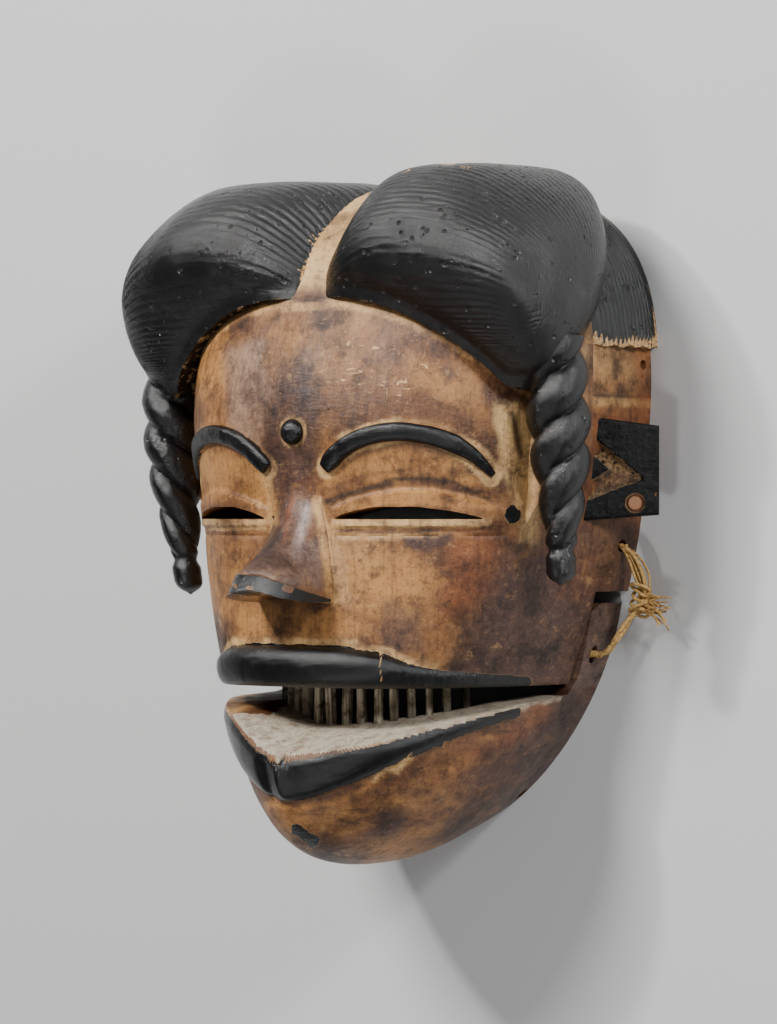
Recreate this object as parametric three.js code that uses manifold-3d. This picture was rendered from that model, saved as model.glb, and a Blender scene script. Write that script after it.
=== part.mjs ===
// An Ogoni elu mask, lying face up on its rim: a carved face with its coiffure, a hinged lower jaw with cane
// teeth, and the raffia ties that hold the jaw. Millimetres. +X is the mask's own left, +Y its crown, +Z comes
// out of the face. The rim lies in the plane Z = 0 and the eye slits lie at Y = 0.
import * as THREE from 'three';
import Module from 'manifold-3d';

const wasm = await Module();
wasm.setup();

// Driving dimensions of the head
const FACE_POWER = 2.5; // exponent of the head's horizontal outline, a rounded square
const FACE_BOTTOM_Y = -58.5; // lower edge of the upper lip and cheeks
const CROWN_Y = 114;
const WALL = 11; // thickness of the carved shell
const RAMUS_Z = 18; // height of the slot in the rim that takes each arm of the jaw
const CHEEK_FOOT_Y = -27; // lower end of the rim, over the jaw's arms
const MATING_GAP = 0.5; // between the cheeks and the jaw

// Half width of the head at the rim, and depth of the face from the rim, at each height
const headHalfWidth = profile([[-64, 58], [-45, 66], [-27, 72], [-5, 77], [20, 80], [50, 81.5], [75, 77],
  [95, 60], [108, 36], [113, 17], [CROWN_Y, 5]]);
const headDepth = profile([[-64, 96], [-45, 95.5], [-20, 94], [0, 92.5], [28, 95.5], [50, 92], [73, 84],
  [88, 77], [100, 65], [108, 52], [112, 38], [113.4, 22], [CROWN_Y, 6]]);

// Eyes, brows, boss, nose and lips
const FEATURE_X = 2; // the eyes, brows, boss and nose were carved this far to the mask's left
const EYE_INNER_X = 15.1;
const EYE_OUTER_X = 59;
const EYE_LOWER_Y = -2.4;
const EYE_RISE = 4; // slit height at its middle
const BROW_LINE = [[12.5, 14.8], [19, 20.6], [28, 24.9], [39, 26.6], [50, 24.6], [57.5, 19.5], [61.8, 12.3]];
const BROW_WIDTH = 6.4;
const BROW_PROUD = 2.4;
const BOSS = { y: 26.8, radius: 4.4, proud: 3.6 };
const NOSE = { rootY: 14, tipY: -24, baseY: -30.5, rootHalfWidth: 6.8, baseHalfWidth: 15.8, baseLift: 4.5 };
const NOSE_PROUD = [[-30.5, 25.2], [-25.5, 22.6], [-21, 19.6], [-15, 15], [-6, 8.3], [4, 2.5], [14, 0.6]];
const LIP_TURN_DEG = 80;
const LIP_HALF_HEIGHTS = [[-80, 1], [-45, 2.2], [-34, 3], [-28, 4.8], [-21, 6.2], [-10, 6.8], [10, 6.8],
  [25, 5.8], [33, 4.3], [42, 3.1], [55, 2.3], [80, 1]]; // by the turn round the head, in degrees
const LIP_PROUD = [[-80, 0.5], [-45, 0.8], [-34, 1.6], [-27, 4], [-20, 5.1], [15, 5.2], [26, 4.4], [34, 2.4],
  [45, 1.2], [80, 0.5]];

// Coiffure: two lobes either side of a parting, a rear band, and a twisted braid at each temple
const LOBE_CENTRE = [49, 72, 54];
const LOBE_TOP = { left: 46.5, right: 43 }; // height of each lobe over its centre
const HAIRLINE = [[0, 71.5], [10, 72], [20, 71.3], [36, 67.3], [53, 58.6], [66, 48.3], [72, 41.5], [80, 39.5],
  [92, 39.5], [110, 42]];
const PARTING_FRONT_HALF = 5.6;
const PARTING_BACK_HALF = 0.2;
const PARTING_CLOSED_Z = 45; // behind this the lobes meet
const BAND = { halfWidth: 84.5, centreY: 40, reachY: 73, footY: 56, power: 3 };
const BAND_ROWS = [[-4, 1], [9, 1], [20, 0.985], [29, 0.95], [36, 0.88]]; // z, and share of the band's full size
const BRAID = { x: 83, z: 59, topY: 58, radius: 10.4, endRadius: 4.8, pitch: 30, bow: 1.5, backLean: 4,
  strand: 0.12 };
const BRAID_SIDES = { left: { endY: -24, inwardLean: 0 }, right: { endY: -29, inwardLean: 5.5 } };
const BRAID_WEB = [[55, 30], [80, 32], [86, 40], [86, 54], [60, 56]]; // x and z of the web between head and braid
const BRAID_WEB_FOOT_Y = -14;

// Ears, standing out from the head as flat plates
const EAR = { innerX: 72, innerZ: 34, reach: 30, topY: 34, footY: -3.5, thickness: 6.6, turnDeg: 38.5, root: 14 };
const CHEVRON = [[2.7, 24], [4.6, 27.9], [23.4, 12.2], [23.4, 11], [2.4, 3.7], [2.4, 7.5], [13.2, 14.4]];
const CHEVRON_DEPTH = 1.5; // the chevron is sunk in the ear's face
const PEG = { along: 21.8, y: 3, radius: 2.4, foot: -6, top: -0.9, clearance: 0.6 };
const RIM_HOLE = { y: 50, z: 4.6, radius: 1.7 };

// Lower jaw, at the open position
const HINGE = { y: -48.5, z: 11 };
const JAW = { topY: -31, springY: -25, halfWidth: 70, lipZ: 104.5, lipY: -80, chinY: -120, chinZ: 57,
  rearChinY: -111, wall: 9.5, skew: 0.05, rightLift: 8, middleZ: 30 };
const MOUTH_EDGE = { rearY: -61.5, frontDrop: 18.5 }; // the jaw's edge beside its arms, and its fall to the lip
const SHELF_INNER_Z = 78;
const LOWER_LIP = { footY: -96.3, footRise: 27.4, proud: 2.8, edgeProud: 0.5, halfTurnDeg: 80 };
const CHIN_HOLE = { start: [20, -96, 3], end: [60, -104, 3], radius: 2.2 };

// Cane teeth along the inner edge of the jaw
const TOOTH = { count: 17, width: 2.8, depth: 3.8, topY: -53, rootDepth: 7, spanDeg: 56, clearance: 0.3,
  rowHalfWidth: 45.2 };

// Raffia ties
const TIE = { y: -11.5, z: 9, radius: 1.3, holeRadius: 2.1, jawHoleStretch: 1.5, knotRadius: 4.2, sides: 5,
  rings: 30 };
const TIE_KNOT = [83.5, -30, 9];
const TIE_END = [96, -32, 9];

// Smooth curve through [position, value] pairs, held level past its ends
function profile(pairs) {
  const slopes = pairs.map((pair, i) => {
    const before = pairs[Math.max(i - 1, 0)];
    const after = pairs[Math.min(i + 1, pairs.length - 1)];
    return (after[1] - before[1]) / (after[0] - before[0]);
  });
  return (at) => {
    if (at <= pairs[0][0]) return pairs[0][1];
    const next = pairs.findIndex((pair) => pair[0] >= at);
    if (next < 0) return pairs[pairs.length - 1][1];
    const span = pairs[next][0] - pairs[next - 1][0];
    const t = (at - pairs[next - 1][0]) / span;
    const [low, high] = [pairs[next - 1][1], pairs[next][1]];
    const [lowSlope, highSlope] = [slopes[next - 1] * span, slopes[next] * span];
    return (2 * t ** 3 - 3 * t ** 2 + 1) * low + (t ** 3 - 2 * t ** 2 + t) * lowSlope
      + (-2 * t ** 3 + 3 * t ** 2) * high + (t ** 3 - t ** 2) * highSlope;
  };
}

const steps = (count, from, to) => Array.from({ length: count }, (_, i) => from + ((to - from) * i) / (count - 1));
const smooth = (edge0, edge1, at) => THREE.MathUtils.smoothstep(at, edge0, edge1);
const signedPower = (value, power) => Math.sign(value) * Math.abs(value) ** power;

// A closed solid from positions and triangles, turned so that its faces point out
function solidOf(positions, triangles) {
  let volume = 0;
  for (let t = 0; t < triangles.length; t += 3) {
    const [a, b, c] = [0, 1, 2].map((k) => positions[triangles[t + k]]);
    volume += a[0] * (b[1] * c[2] - b[2] * c[1])
      + a[1] * (b[2] * c[0] - b[0] * c[2])
      + a[2] * (b[0] * c[1] - b[1] * c[0]);
  }
  const faces = volume > 0 ? triangles : [...triangles].reverse();
  const mesh = new wasm.Mesh({
    numProp: 3,
    vertProperties: Float32Array.from(positions.flat()),
    triVerts: Uint32Array.from(faces),
  });
  return new wasm.Manifold(mesh);
}

// A closed solid through a row of rings that have the same number of points, its two ends closed by fans
function loft(rings) {
  const count = rings[0].length;
  const positions = rings.flat();
  const triangles = [];
  for (let r = 0; r + 1 < rings.length; r++) {
    for (let i = 0; i < count; i++) {
      const [a, b] = [r * count + i, r * count + ((i + 1) % count)];
      triangles.push(a, b, b + count, a, b + count, a + count);
    }
  }
  [0, rings.length - 1].forEach((r) => {
    const centre = [0, 1, 2].map((k) => rings[r].reduce((sum, point) => sum + point[k], 0) / count);
    positions.push(centre);
    for (let i = 0; i < count; i++) {
      const [a, b] = [r * count + i, r * count + ((i + 1) % count)];
      triangles.push(...(r ? [a, b, positions.length - 1] : [b, a, positions.length - 1]));
    }
  });
  return solidOf(positions, triangles);
}

// A closed solid from one of three.js's own closed geometries
function fromGeometry(geometry) {
  const source = geometry.toNonIndexed().attributes.position;
  const places = new Map();
  const positions = [];
  const triangles = [];
  for (let i = 0; i < source.count; i++) {
    const point = [source.getX(i), source.getY(i), source.getZ(i)];
    const key = point.map((value) => Math.round(value * 1e4)).join();
    if (!places.has(key)) {
      places.set(key, positions.length);
      positions.push(point);
    }
    triangles.push(places.get(key));
  }
  const kept = [];
  for (let t = 0; t < triangles.length; t += 3) {
    const [a, b, c] = triangles.slice(t, t + 3);
    if (a !== b && b !== c && c !== a) kept.push(a, b, c);
  }
  return solidOf(positions, kept);
}

const box = (low, high) => fromGeometry(
  new THREE.BoxGeometry(high[0] - low[0], high[1] - low[1], high[2] - low[2])
    .translate((low[0] + high[0]) / 2, (low[1] + high[1]) / 2, (low[2] + high[2]) / 2),
);

// A straight prism: an outline in the plane of two axes, carried along the third
function prism(outline, from, to, place) {
  return loft([outline.map((point) => place(point, from)), outline.map((point) => place(point, to))]);
}

// A round bar between two points, used for holes and pegs
function bar(start, end, radius, sides = 12, stretch = 1) {
  const axis = new THREE.Vector3(...end).sub(new THREE.Vector3(...start));
  const up = new THREE.Vector3(0, 1, 0);
  const side = new THREE.Vector3().crossVectors(axis, up).normalize();
  const ring = (centre) => steps(sides + 1, 0, 2 * Math.PI).slice(0, sides).map((angle) => [
    centre[0] + side.x * radius * Math.cos(angle) + up.x * radius * stretch * Math.sin(angle),
    centre[1] + side.y * radius * Math.cos(angle) + up.y * radius * stretch * Math.sin(angle),
    centre[2] + side.z * radius * Math.cos(angle) + up.z * radius * stretch * Math.sin(angle),
  ]);
  return loft([ring(start), ring(end)]);
}

// Head outline at one height, closed behind the rim, pulled in by an inset
function headRing(y, inset, columns, backZ) {
  const a = Math.max(headHalfWidth(y) - inset, 2);
  const d = Math.max(headDepth(y) - inset, 2);
  const front = steps(columns, -Math.PI / 2, Math.PI / 2).map((angle) => [
    a * signedPower(Math.sin(angle), 2 / FACE_POWER),
    y,
    d * Math.max(Math.cos(angle), 0) ** (2 / FACE_POWER),
  ]);
  return [...front, [a, y, backZ], [-a, y, backZ]];
}

// Point and outward normal on the face at a given x and y
function onFace(x, y) {
  const depthAt = (px, py) => headDepth(py)
    * Math.max(1 - (Math.abs(px) / headHalfWidth(py)) ** FACE_POWER, 0.0001) ** (1 / FACE_POWER);
  const h = 0.5;
  const z = depthAt(x, y);
  const normal = new THREE.Vector3(
    -(depthAt(x + h, y) - depthAt(x - h, y)) / (2 * h),
    -(depthAt(x, y + h) - depthAt(x, y - h)) / (2 * h),
    1,
  ).normalize();
  return { point: new THREE.Vector3(x, y, z), normal };
}

// A rounded ridge laid along points of a surface. width and proud are taken at each share of its length.
function ridge(path, width, proud, sides = 8) {
  const rings = path.map(({ point, normal }, i) => {
    const before = path[Math.max(i - 1, 0)].point;
    const after = path[Math.min(i + 1, path.length - 1)].point;
    const along = after.clone().sub(before).normalize();
    const across = new THREE.Vector3().crossVectors(normal, along).normalize();
    const share = i / (path.length - 1);
    return steps(sides + 1, 0, 2 * Math.PI).slice(0, sides).map((angle) => point.clone()
      .addScaledVector(normal, proud(share) * Math.cos(angle))
      .addScaledVector(across, (width(share) / 2) * Math.sin(angle))
      .toArray());
  });
  return loft(rings);
}

function head() {
  const heights = [FACE_BOTTOM_Y, -45, -32, -20, -8, 4, 16, 28, 40, 52, 62, 72, 80, 88, 95, 101, 106, 110,
    112.5, 113.6];
  return loft(heights.map((y) => headRing(y, 0, 27, -6)));
}

// The hollow for the wearer's face, open behind and below
function headHollow() {
  const heights = [-75, FACE_BOTTOM_Y, -40, -20, 0, 20, 40, 60, 75, 86, 94, 99];
  const closing = (y) => WALL + 14 * smooth(70, 102, y);
  return loft(heights.map((y) => headRing(y, closing(y), 19, -20)));
}

function eyeSlit() {
  const across = steps(9, EYE_INNER_X, EYE_OUTER_X);
  const upper = across.map((x, i) => [x, EYE_LOWER_Y + 0.4 + EYE_RISE * Math.sin((Math.PI * i) / 8) ** 0.8]);
  const outline = [[EYE_INNER_X, EYE_LOWER_Y], [EYE_OUTER_X, EYE_LOWER_Y], ...upper.reverse()];
  return prism(outline, 30, 120, ([x, y], z) => [x, y, z]);
}

function brow(side) {
  const line = new THREE.SplineCurve(BROW_LINE.map(([x, y]) => new THREE.Vector2(side * x + FEATURE_X, y)));
  const path = steps(11, 0, 1).map((t) => line.getPoint(t)).map(({ x, y }) => onFace(x, y));
  const taper = (share) => Math.min(1, 0.75 + 3 * share, 0.35 + 2.6 * (1 - share));
  return ridge(path, (share) => BROW_WIDTH * taper(share), (share) => BROW_PROUD * taper(share));
}

function boss() {
  const { point } = onFace(FEATURE_X, BOSS.y);
  return fromGeometry(new THREE.SphereGeometry(BOSS.radius, 12, 8).rotateX(Math.PI / 2)
    .scale(1, 1, BOSS.proud / BOSS.radius).translate(FEATURE_X, BOSS.y, point.z - 0.2));
}

// The nose rises in a hollow curve from its root to a broad tip that stands out most at its foot
function nose() {
  const proudAt = profile(NOSE_PROUD);
  const rows = [NOSE.rootY, 10, 4, -2, -8, -14, -19, NOSE.tipY, -27.5, NOSE.baseY];
  return loft(rows.map((y) => {
    const down = THREE.MathUtils.clamp((NOSE.rootY - y) / (NOSE.rootY - NOSE.tipY), 0, 1);
    const halfWidth = NOSE.rootHalfWidth + (NOSE.baseHalfWidth - NOSE.rootHalfWidth) * down ** 0.8;
    const fullness = 1.35 + 0.75 * down ** 2 + 4 * down ** 12;
    const front = steps(11, -1, 1).map((s) => {
      const x = halfWidth * s + FEATURE_X;
      const lift = NOSE.baseLift * (1 - s * s) * down ** 3;
      return [x, y + lift, onFace(x, y).point.z - 0.5 + proudAt(y) * (1 - Math.abs(s) ** fullness) ** 0.85];
    });
    return [...front, [FEATURE_X + halfWidth, y, 70], [FEATURE_X - halfWidth, y, 70]];
  }));
}

// Point and level outward normal on the head's outline at one height, by the turn from straight ahead
function onOutline(turn, y) {
  const [a, d] = [headHalfWidth(y), headDepth(y)];
  const point = new THREE.Vector3(a * signedPower(Math.sin(turn), 2 / FACE_POWER), y,
    d * Math.max(Math.cos(turn), 0) ** (2 / FACE_POWER));
  const [slopeX, slopeZ] = [signedPower(point.x / a, FACE_POWER - 1) / a, (point.z / d) ** (FACE_POWER - 1) / d];
  return { point, normal: new THREE.Vector3(slopeX, 0, slopeZ).normalize() };
}

// A roll along the foot of the face, full in front and thin towards the corners of the mouth
function upperLip() {
  const halfHeight = profile(LIP_HALF_HEIGHTS);
  const proud = profile(LIP_PROUD);
  const turnAt = (share) => (2 * share - 1) * LIP_TURN_DEG;
  const path = steps(25, 0, 1).map((share) => onOutline(
    THREE.MathUtils.degToRad(turnAt(share)),
    FACE_BOTTOM_Y + halfHeight(turnAt(share)),
  ));
  return ridge(path, (share) => 2 * halfHeight(turnAt(share)), (share) => proud(turnAt(share)), 10);
}

// One lobe is a rounded block: each facing is a direction from its centre and the distance to it
const LOBE_POWER = 8;
const LOBE_FACINGS = [
  [[1, 0, 0], 46], [[0, 0, 1], 45], [[0, 0, -1], 34], [[0.6, 0.75, 0.1], 46], [[0.7, 0, 0.7], 51],
  [[-0.75, 0.23, 0.62], 58], [[-0.72, 0.5, 0.48], 54], [[-0.75, 0.63, 0.2], 66], [[0, 0.7, 0.7], 47],
  [[0, -0.5, 0.87], 30], [[0, -1, 0], 40], [[0.6, -0.6, 0.5], 51], [[-1, 0, 0], 72], [[0.5, 0.6, 0.6], 46],
  [[0, -0.8, -0.6], 28], [[0.6, -0.6, -0.5], 36], [[0.7, 0, -0.7], 43],
];

function lobeRadius(direction, topDistance) {
  const inverse = [...LOBE_FACINGS, [[0, 1, 0], topDistance]].reduce((sum, [facing, distance]) => {
    const unit = new THREE.Vector3(...facing).normalize();
    return sum + (Math.max(unit.dot(direction), 0) / distance) ** LOBE_POWER;
  }, 0);
  return inverse ** (-1 / LOBE_POWER);
}

function lobe(topDistance) {
  const turns = steps(21, 0, 2 * Math.PI).slice(0, 20);
  const rings = steps(15, 0.06, Math.PI - 0.06).map((tilt) => turns.map((turn) => {
    const [along, across] = [-Math.cos(tilt), Math.sin(tilt)];
    const direction = new THREE.Vector3(along, across * Math.cos(turn), across * Math.sin(turn));
    const point = direction.clone().multiplyScalar(lobeRadius(direction, topDistance));
    return [point.x + LOBE_CENTRE[0], point.y + LOBE_CENTRE[1], point.z + LOBE_CENTRE[2]];
  }));
  return loft(rings).subtract(belowHairline()).subtract(partingStrip());
}

// Everything under the hairline, and the strip of bare wood along the parting
function belowHairline() {
  const line = new THREE.SplineCurve(HAIRLINE.map(([x, y]) => new THREE.Vector2(x, y))).getPoints(24);
  const outline = [[-30, 20], [110, 20], ...line.reverse().map(({ x, y }) => [x, y]), [-30, HAIRLINE[0][1]]];
  return prism(outline, -10, 150, ([x, y], z) => [x, y, z]);
}

function partingStrip() {
  const half = (z) => PARTING_BACK_HALF
    + (PARTING_FRONT_HALF - PARTING_BACK_HALF) * smooth(PARTING_CLOSED_Z, 90, z);
  const outline = [[-60, -20], ...steps(8, -20, 130).map((z) => [half(z), z]), [-60, 130]];
  return prism(outline, 20, 150, ([x, z], y) => [x, y, z]);
}

function rearBand() {
  const ring = (z, share) => steps(25, 0, Math.PI).map((angle) => [
    BAND.halfWidth * share * signedPower(Math.cos(angle), 2 / BAND.power),
    BAND.centreY + BAND.reachY * share * Math.abs(Math.sin(angle)) ** (2 / BAND.power),
    z,
  ]);
  const closed = loft(BAND_ROWS.map(([z, share]) => ring(z, share)));
  return closed.subtract(box([-120, -20, -20], [120, BAND.footY, 60]));
}

// A rope of two strands, thinning to a small ball
function braid({ endY, inwardLean }) {
  const radius = (t) => BRAID.radius + (BRAID.endRadius - BRAID.radius) * smooth(0.35, 1, t);
  const rings = steps(30, 0, 1).map((t) => {
    const y = BRAID.topY + (endY - BRAID.topY) * t;
    const turn = (2 * Math.PI * (BRAID.topY - y)) / BRAID.pitch;
    const closing = Math.sqrt(Math.max(1 - smooth(0.94, 1, t) ** 2, 0.12));
    const centreX = BRAID.x + BRAID.bow * Math.sin(3 * t) - inwardLean * t ** 2;
    const centreZ = BRAID.z - BRAID.backLean * t;
    return steps(13, 0, 2 * Math.PI).slice(0, 12).map((angle) => {
      const r = radius(t) * closing * (1.06 - BRAID.strand + BRAID.strand * Math.cos(2 * (angle - turn)));
      return [centreX + r * Math.cos(angle), y, centreZ + r * Math.sin(angle)];
    });
  });
  return loft(rings);
}

const braidWeb = () => prism(BRAID_WEB, BRAID_WEB_FOOT_Y, BRAID.topY - 2, ([x, z], y) => [x, y, z]);

// A place on the ear's front face, by the distance along the plate, the height, and the depth in front of it
function onEar([along, y], depth) {
  const turn = THREE.MathUtils.degToRad(EAR.turnDeg);
  return [
    EAR.innerX + along * Math.cos(turn) + depth * Math.sin(turn),
    y,
    EAR.innerZ - along * Math.sin(turn) + depth * Math.cos(turn),
  ];
}

function ear() {
  const outline = [[-EAR.root, EAR.footY - 1], [EAR.reach, EAR.footY + 2.5], [EAR.reach, EAR.topY - 5],
    [-EAR.root, EAR.topY + 1]];
  return prism(outline, -EAR.thickness, 0, onEar).subtract(prism(CHEVRON, -CHEVRON_DEPTH, 2, onEar));
}

const earPeg = (from, to, radius) => bar(onEar([PEG.along, PEG.y], from), onEar([PEG.along, PEG.y], to), radius);

function halfOfMask(side) {
  return [lobe(LOBE_TOP[side]), braid(BRAID_SIDES[side]), braidWeb(), ear()]
    .reduce((whole, solid) => whole.add(solid));
}

function upperMask() {
  const shell = [head(), nose(), upperLip(), boss(), brow(1), brow(-1), rearBand(), halfOfMask('left'),
    halfOfMask('right').mirror([1, 0, 0])].reduce((whole, solid) => whole.add(solid));
  const eyes = eyeSlit().add(eyeSlit().mirror([1, 0, 0])).translate([FEATURE_X, 0, 0]);
  const slot = box([-120, -90, -30], [120, CHEEK_FOOT_Y, RAMUS_Z + MATING_GAP]);
  const tieHole = bar([60, TIE.y, TIE.z], [90, TIE.y, TIE.z], TIE.holeRadius, 10);
  const rimHole = bar([70, RIM_HOLE.y, RIM_HOLE.z], [100, RIM_HOLE.y, RIM_HOLE.z], RIM_HOLE.radius, 8);
  const pegHole = earPeg(-20, 10, PEG.radius + PEG.clearance);
  const behindRim = box([-150, -150, -60], [150, 200, 0]);
  const belowLip = box([-150, -150, -20], [150, FACE_BOTTOM_Y, 150]);
  const cuts = [headHollow(), slot, eyes, tieHole, tieHole.mirror([1, 0, 0]), rimHole,
    rimHole.mirror([1, 0, 0]), pegHole, behindRim, belowLip];
  return cuts.reduce((whole, cut) => whole.subtract(cut), shell);
}

// Plan of the jaw at its mouth, and its lower outline, by the distance z in front of the rim
const jawHalfWidth = (z) => JAW.halfWidth * Math.max(1 - (z / JAW.lipZ) ** 2.2, 0.0004) ** (1 / 2.2);
const jawFloor = (z) => (z < JAW.chinZ
  ? JAW.chinY + (JAW.rearChinY - JAW.chinY) * ((JAW.chinZ - z) / JAW.chinZ) ** 2
  : JAW.lipY + (JAW.chinY - JAW.lipY)
    * Math.max(1 - ((z - JAW.chinZ) / (JAW.lipZ - JAW.chinZ)) ** 2.5, 0.002) ** (1 / 2.5));
const jawPower = (z) => 1.6 + 0.4 * smooth(5, 65, z);
const jawSkew = (z) => JAW.skew * z;
const jawLift = (x, z) => JAW.rightLift * (1 - smooth(-28, 2, x)) * smooth(30, 95, z);
const rimOfJaw = (z) => MOUTH_EDGE.rearY - MOUTH_EDGE.frontDrop * (Math.max(z, 0) / JAW.lipZ) ** 2;

// Cross-section of the jaw, or of its hollow, at one z
function jawRing(z, halfWidth, floor, power) {
  return steps(21, 0, Math.PI).map((angle) => [
    halfWidth * signedPower(Math.cos(angle), 2 / power) + jawSkew(z),
    JAW.springY - (JAW.springY - floor) * Math.sin(angle) ** (2 / power),
    z,
  ]);
}

function jawBody() {
  const fronts = [-6, 0, 10, 20, 32, 44, 56, 67, 77, 86, 93, 98, 101.5, 103.6, 104.4];
  return loft(fronts.map((z) => {
    const ahead = Math.max(z, 0);
    return jawRing(z, jawHalfWidth(ahead), jawFloor(ahead), jawPower(z));
  }));
}

// Where a level line leaves the jaw, by its turn from straight ahead about the middle of the jaw
function jawOutline(turn, y) {
  const inside = (x, z) => z < JAW.lipZ
    && (Math.abs(x) / jawHalfWidth(Math.max(z, 0))) ** jawPower(z)
    + ((JAW.springY - y) / (JAW.springY - jawFloor(Math.max(z, 0)))) ** jawPower(z) < 1;
  let [near, far] = [0, 120];
  for (let i = 0; i < 30; i++) {
    const middle = (near + far) / 2;
    if (inside(middle * Math.sin(turn), JAW.middleZ + middle * Math.cos(turn))) near = middle;
    else far = middle;
  }
  const z = JAW.middleZ + near * Math.cos(turn);
  return [near * Math.sin(turn) + jawSkew(z), z];
}

// The lower lip fills the jaw's front from a foot that rises towards the corners up to the mouth's edge
function lowerLip() {
  const reach = THREE.MathUtils.degToRad(LOWER_LIP.halfTurnDeg);
  const rows = steps(21, -1, 1).map((share) => {
    const turn = share * reach;
    const foot = LOWER_LIP.footY + LOWER_LIP.footRise * Math.sin((Math.PI / 2) * Math.abs(share)) ** 1.4;
    const [footX, footZ] = jawOutline(turn, foot);
    const halfHeight = (rimOfJaw(footZ) + jawLift(footX, footZ) - foot) / 2 + 1;
    return { turn, y: foot + halfHeight, halfHeight };
  });
  const path = rows.map(({ turn, y }) => {
    const [x, z] = jawOutline(turn, y);
    const normal = new THREE.Vector3(Math.sin(turn), -0.25, Math.cos(turn)).normalize();
    return { point: new THREE.Vector3(x, y, z), normal };
  });
  const taper = (share) => 1 - Math.abs(2 * share - 1) ** 2;
  return ridge(path, (share) => 2 * rows[Math.round(share * 20)].halfHeight,
    (share) => LOWER_LIP.edgeProud + (LOWER_LIP.proud - LOWER_LIP.edgeProud) * taper(share), 10);
}

// Everything over the jaw's edge: the mouth, and the space in front of each arm
function overJaw() {
  return loft([-140, -45, -25, -12, 0, 15, 140].map((x) => {
    const shelf = steps(9, RAMUS_Z + 6, 125).map((z) => [x, rimOfJaw(z) + jawLift(x, z), z]);
    return [[x, 20, -30], [x, JAW.topY, -30], [x, JAW.topY, RAMUS_Z - 5], [x, JAW.topY - 3, RAMUS_Z],
      [x, -57, RAMUS_Z - 1.6], [x, rimOfJaw(RAMUS_Z + 2), RAMUS_Z + 1], ...shelf, [x, 20, 125]];
  }));
}

function jawHollow() {
  const fronts = [-20, 0, 15, 30, 44, 56, 65, 71, 75, 77.4];
  const floor = (z) => jawFloor(Math.max(z, 0)) + JAW.wall + 26 * smooth(40, SHELF_INNER_Z, z) ** 2;
  return loft(fronts.map((z) => {
    const share = Math.max(1 - (Math.max(z, 0) / SHELF_INNER_Z) ** 2.4, 0.003) ** (1 / 2.4);
    const half = (JAW.halfWidth - JAW.wall) * (1 - 0.08 * smooth(0, 40, z)) * share;
    return jawRing(z, half, floor(z), 1.8);
  }));
}

// Where each tooth stands: just inside the inner edge of the jaw
function toothPlaces() {
  const span = THREE.MathUtils.degToRad(TOOTH.spanDeg);
  return steps(TOOTH.count, -span, span).map((angle) => {
    const z = (SHELF_INNER_Z - 1.2) * Math.cos(angle) ** 0.72;
    const x = TOOTH.rowHalfWidth * signedPower(Math.sin(angle), 0.95);
    return { x: x + jawSkew(z), z, angle: angle * 0.9 };
  });
}

function toothSolid({ x, z, angle }, grow, topY) {
  const low = rimOfJaw(z) - TOOTH.rootDepth - grow;
  const outline = [[-1, -1], [1, -1], [1, 1], [-1, 1]]
    .map(([a, b]) => [a * (TOOTH.width / 2 + grow), b * (TOOTH.depth / 2 + grow)]);
  return prism(outline, low, topY, ([a, b], y) => [
    x + a * Math.cos(angle) + b * Math.sin(angle), y, z - a * Math.sin(angle) + b * Math.cos(angle),
  ]);
}

function lowerJaw() {
  const outer = jawBody().add(lowerLip());
  const tieHole = bar([50, HINGE.y, HINGE.z], [90, HINGE.y, HINGE.z], TIE.holeRadius, 12, TIE.jawHoleStretch);
  const chinHole = bar(CHIN_HOLE.start, CHIN_HOLE.end, CHIN_HOLE.radius, 8);
  const sockets = toothPlaces().map((place) => toothSolid(place, TOOTH.clearance, 0));
  const behindRim = box([-150, -200, -60], [150, 200, 0]);
  const cuts = [jawHollow(), overJaw(), tieHole, tieHole.mirror([1, 0, 0]), chinHole, chinHole.mirror([1, 0, 0]),
    behindRim, ...sockets];
  return cuts.reduce((whole, cut) => whole.subtract(cut), outer);
}

// The raffia cord of one side: out of the head, down outside to its knot, in through the jaw and up again inside
function tie() {
  const route = [
    [66, TIE.y, TIE.z], [77, TIE.y, TIE.z], [82, -18, TIE.z], [84, -27, TIE.z], [79, -37, TIE.z + 1],
    [71, HINGE.y + 1, HINGE.z], [64, HINGE.y, HINGE.z], [55, HINGE.y, HINGE.z], [54.5, -40, 10], [56, -26, 9.5],
    [60, TIE.y - 3, TIE.z],
  ];
  const curve = new THREE.CatmullRomCurve3(route.map((point) => new THREE.Vector3(...point)), true);
  const frames = curve.computeFrenetFrames(TIE.rings, true);
  const positions = [];
  const triangles = [];
  for (let i = 0; i < TIE.rings; i++) {
    const centre = curve.getPointAt(i / TIE.rings);
    for (let k = 0; k < TIE.sides; k++) {
      const angle = (2 * Math.PI * k) / TIE.sides;
      positions.push(centre.clone().addScaledVector(frames.normals[i], TIE.radius * Math.cos(angle))
        .addScaledVector(frames.binormals[i], TIE.radius * Math.sin(angle)).toArray());
      const [a, b] = [i * TIE.sides + k, i * TIE.sides + ((k + 1) % TIE.sides)];
      const next = ((i + 1) % TIE.rings) * TIE.sides;
      const [c, d] = [next + k, next + ((k + 1) % TIE.sides)];
      triangles.push(a, b, d, a, d, c);
    }
  }
  const loop = solidOf(positions, triangles);
  const knot = fromGeometry(
    new THREE.SphereGeometry(TIE.knotRadius, 8, 6).scale(1, 1.3, 0.9).translate(...TIE_KNOT),
  );
  const frayedEnd = bar(TIE_KNOT, TIE_END, 2, 6, 1.6);
  return loop.add(knot).add(frayedEnd);
}

const WOOD = { color: 0x96693f, roughness: 0.55, metalness: 0 };
const CANE = { color: 0xa59b86, roughness: 0.8, metalness: 0 };
const RAFFIA = { color: 0xc8a05a, roughness: 0.85, metalness: 0 };

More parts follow.
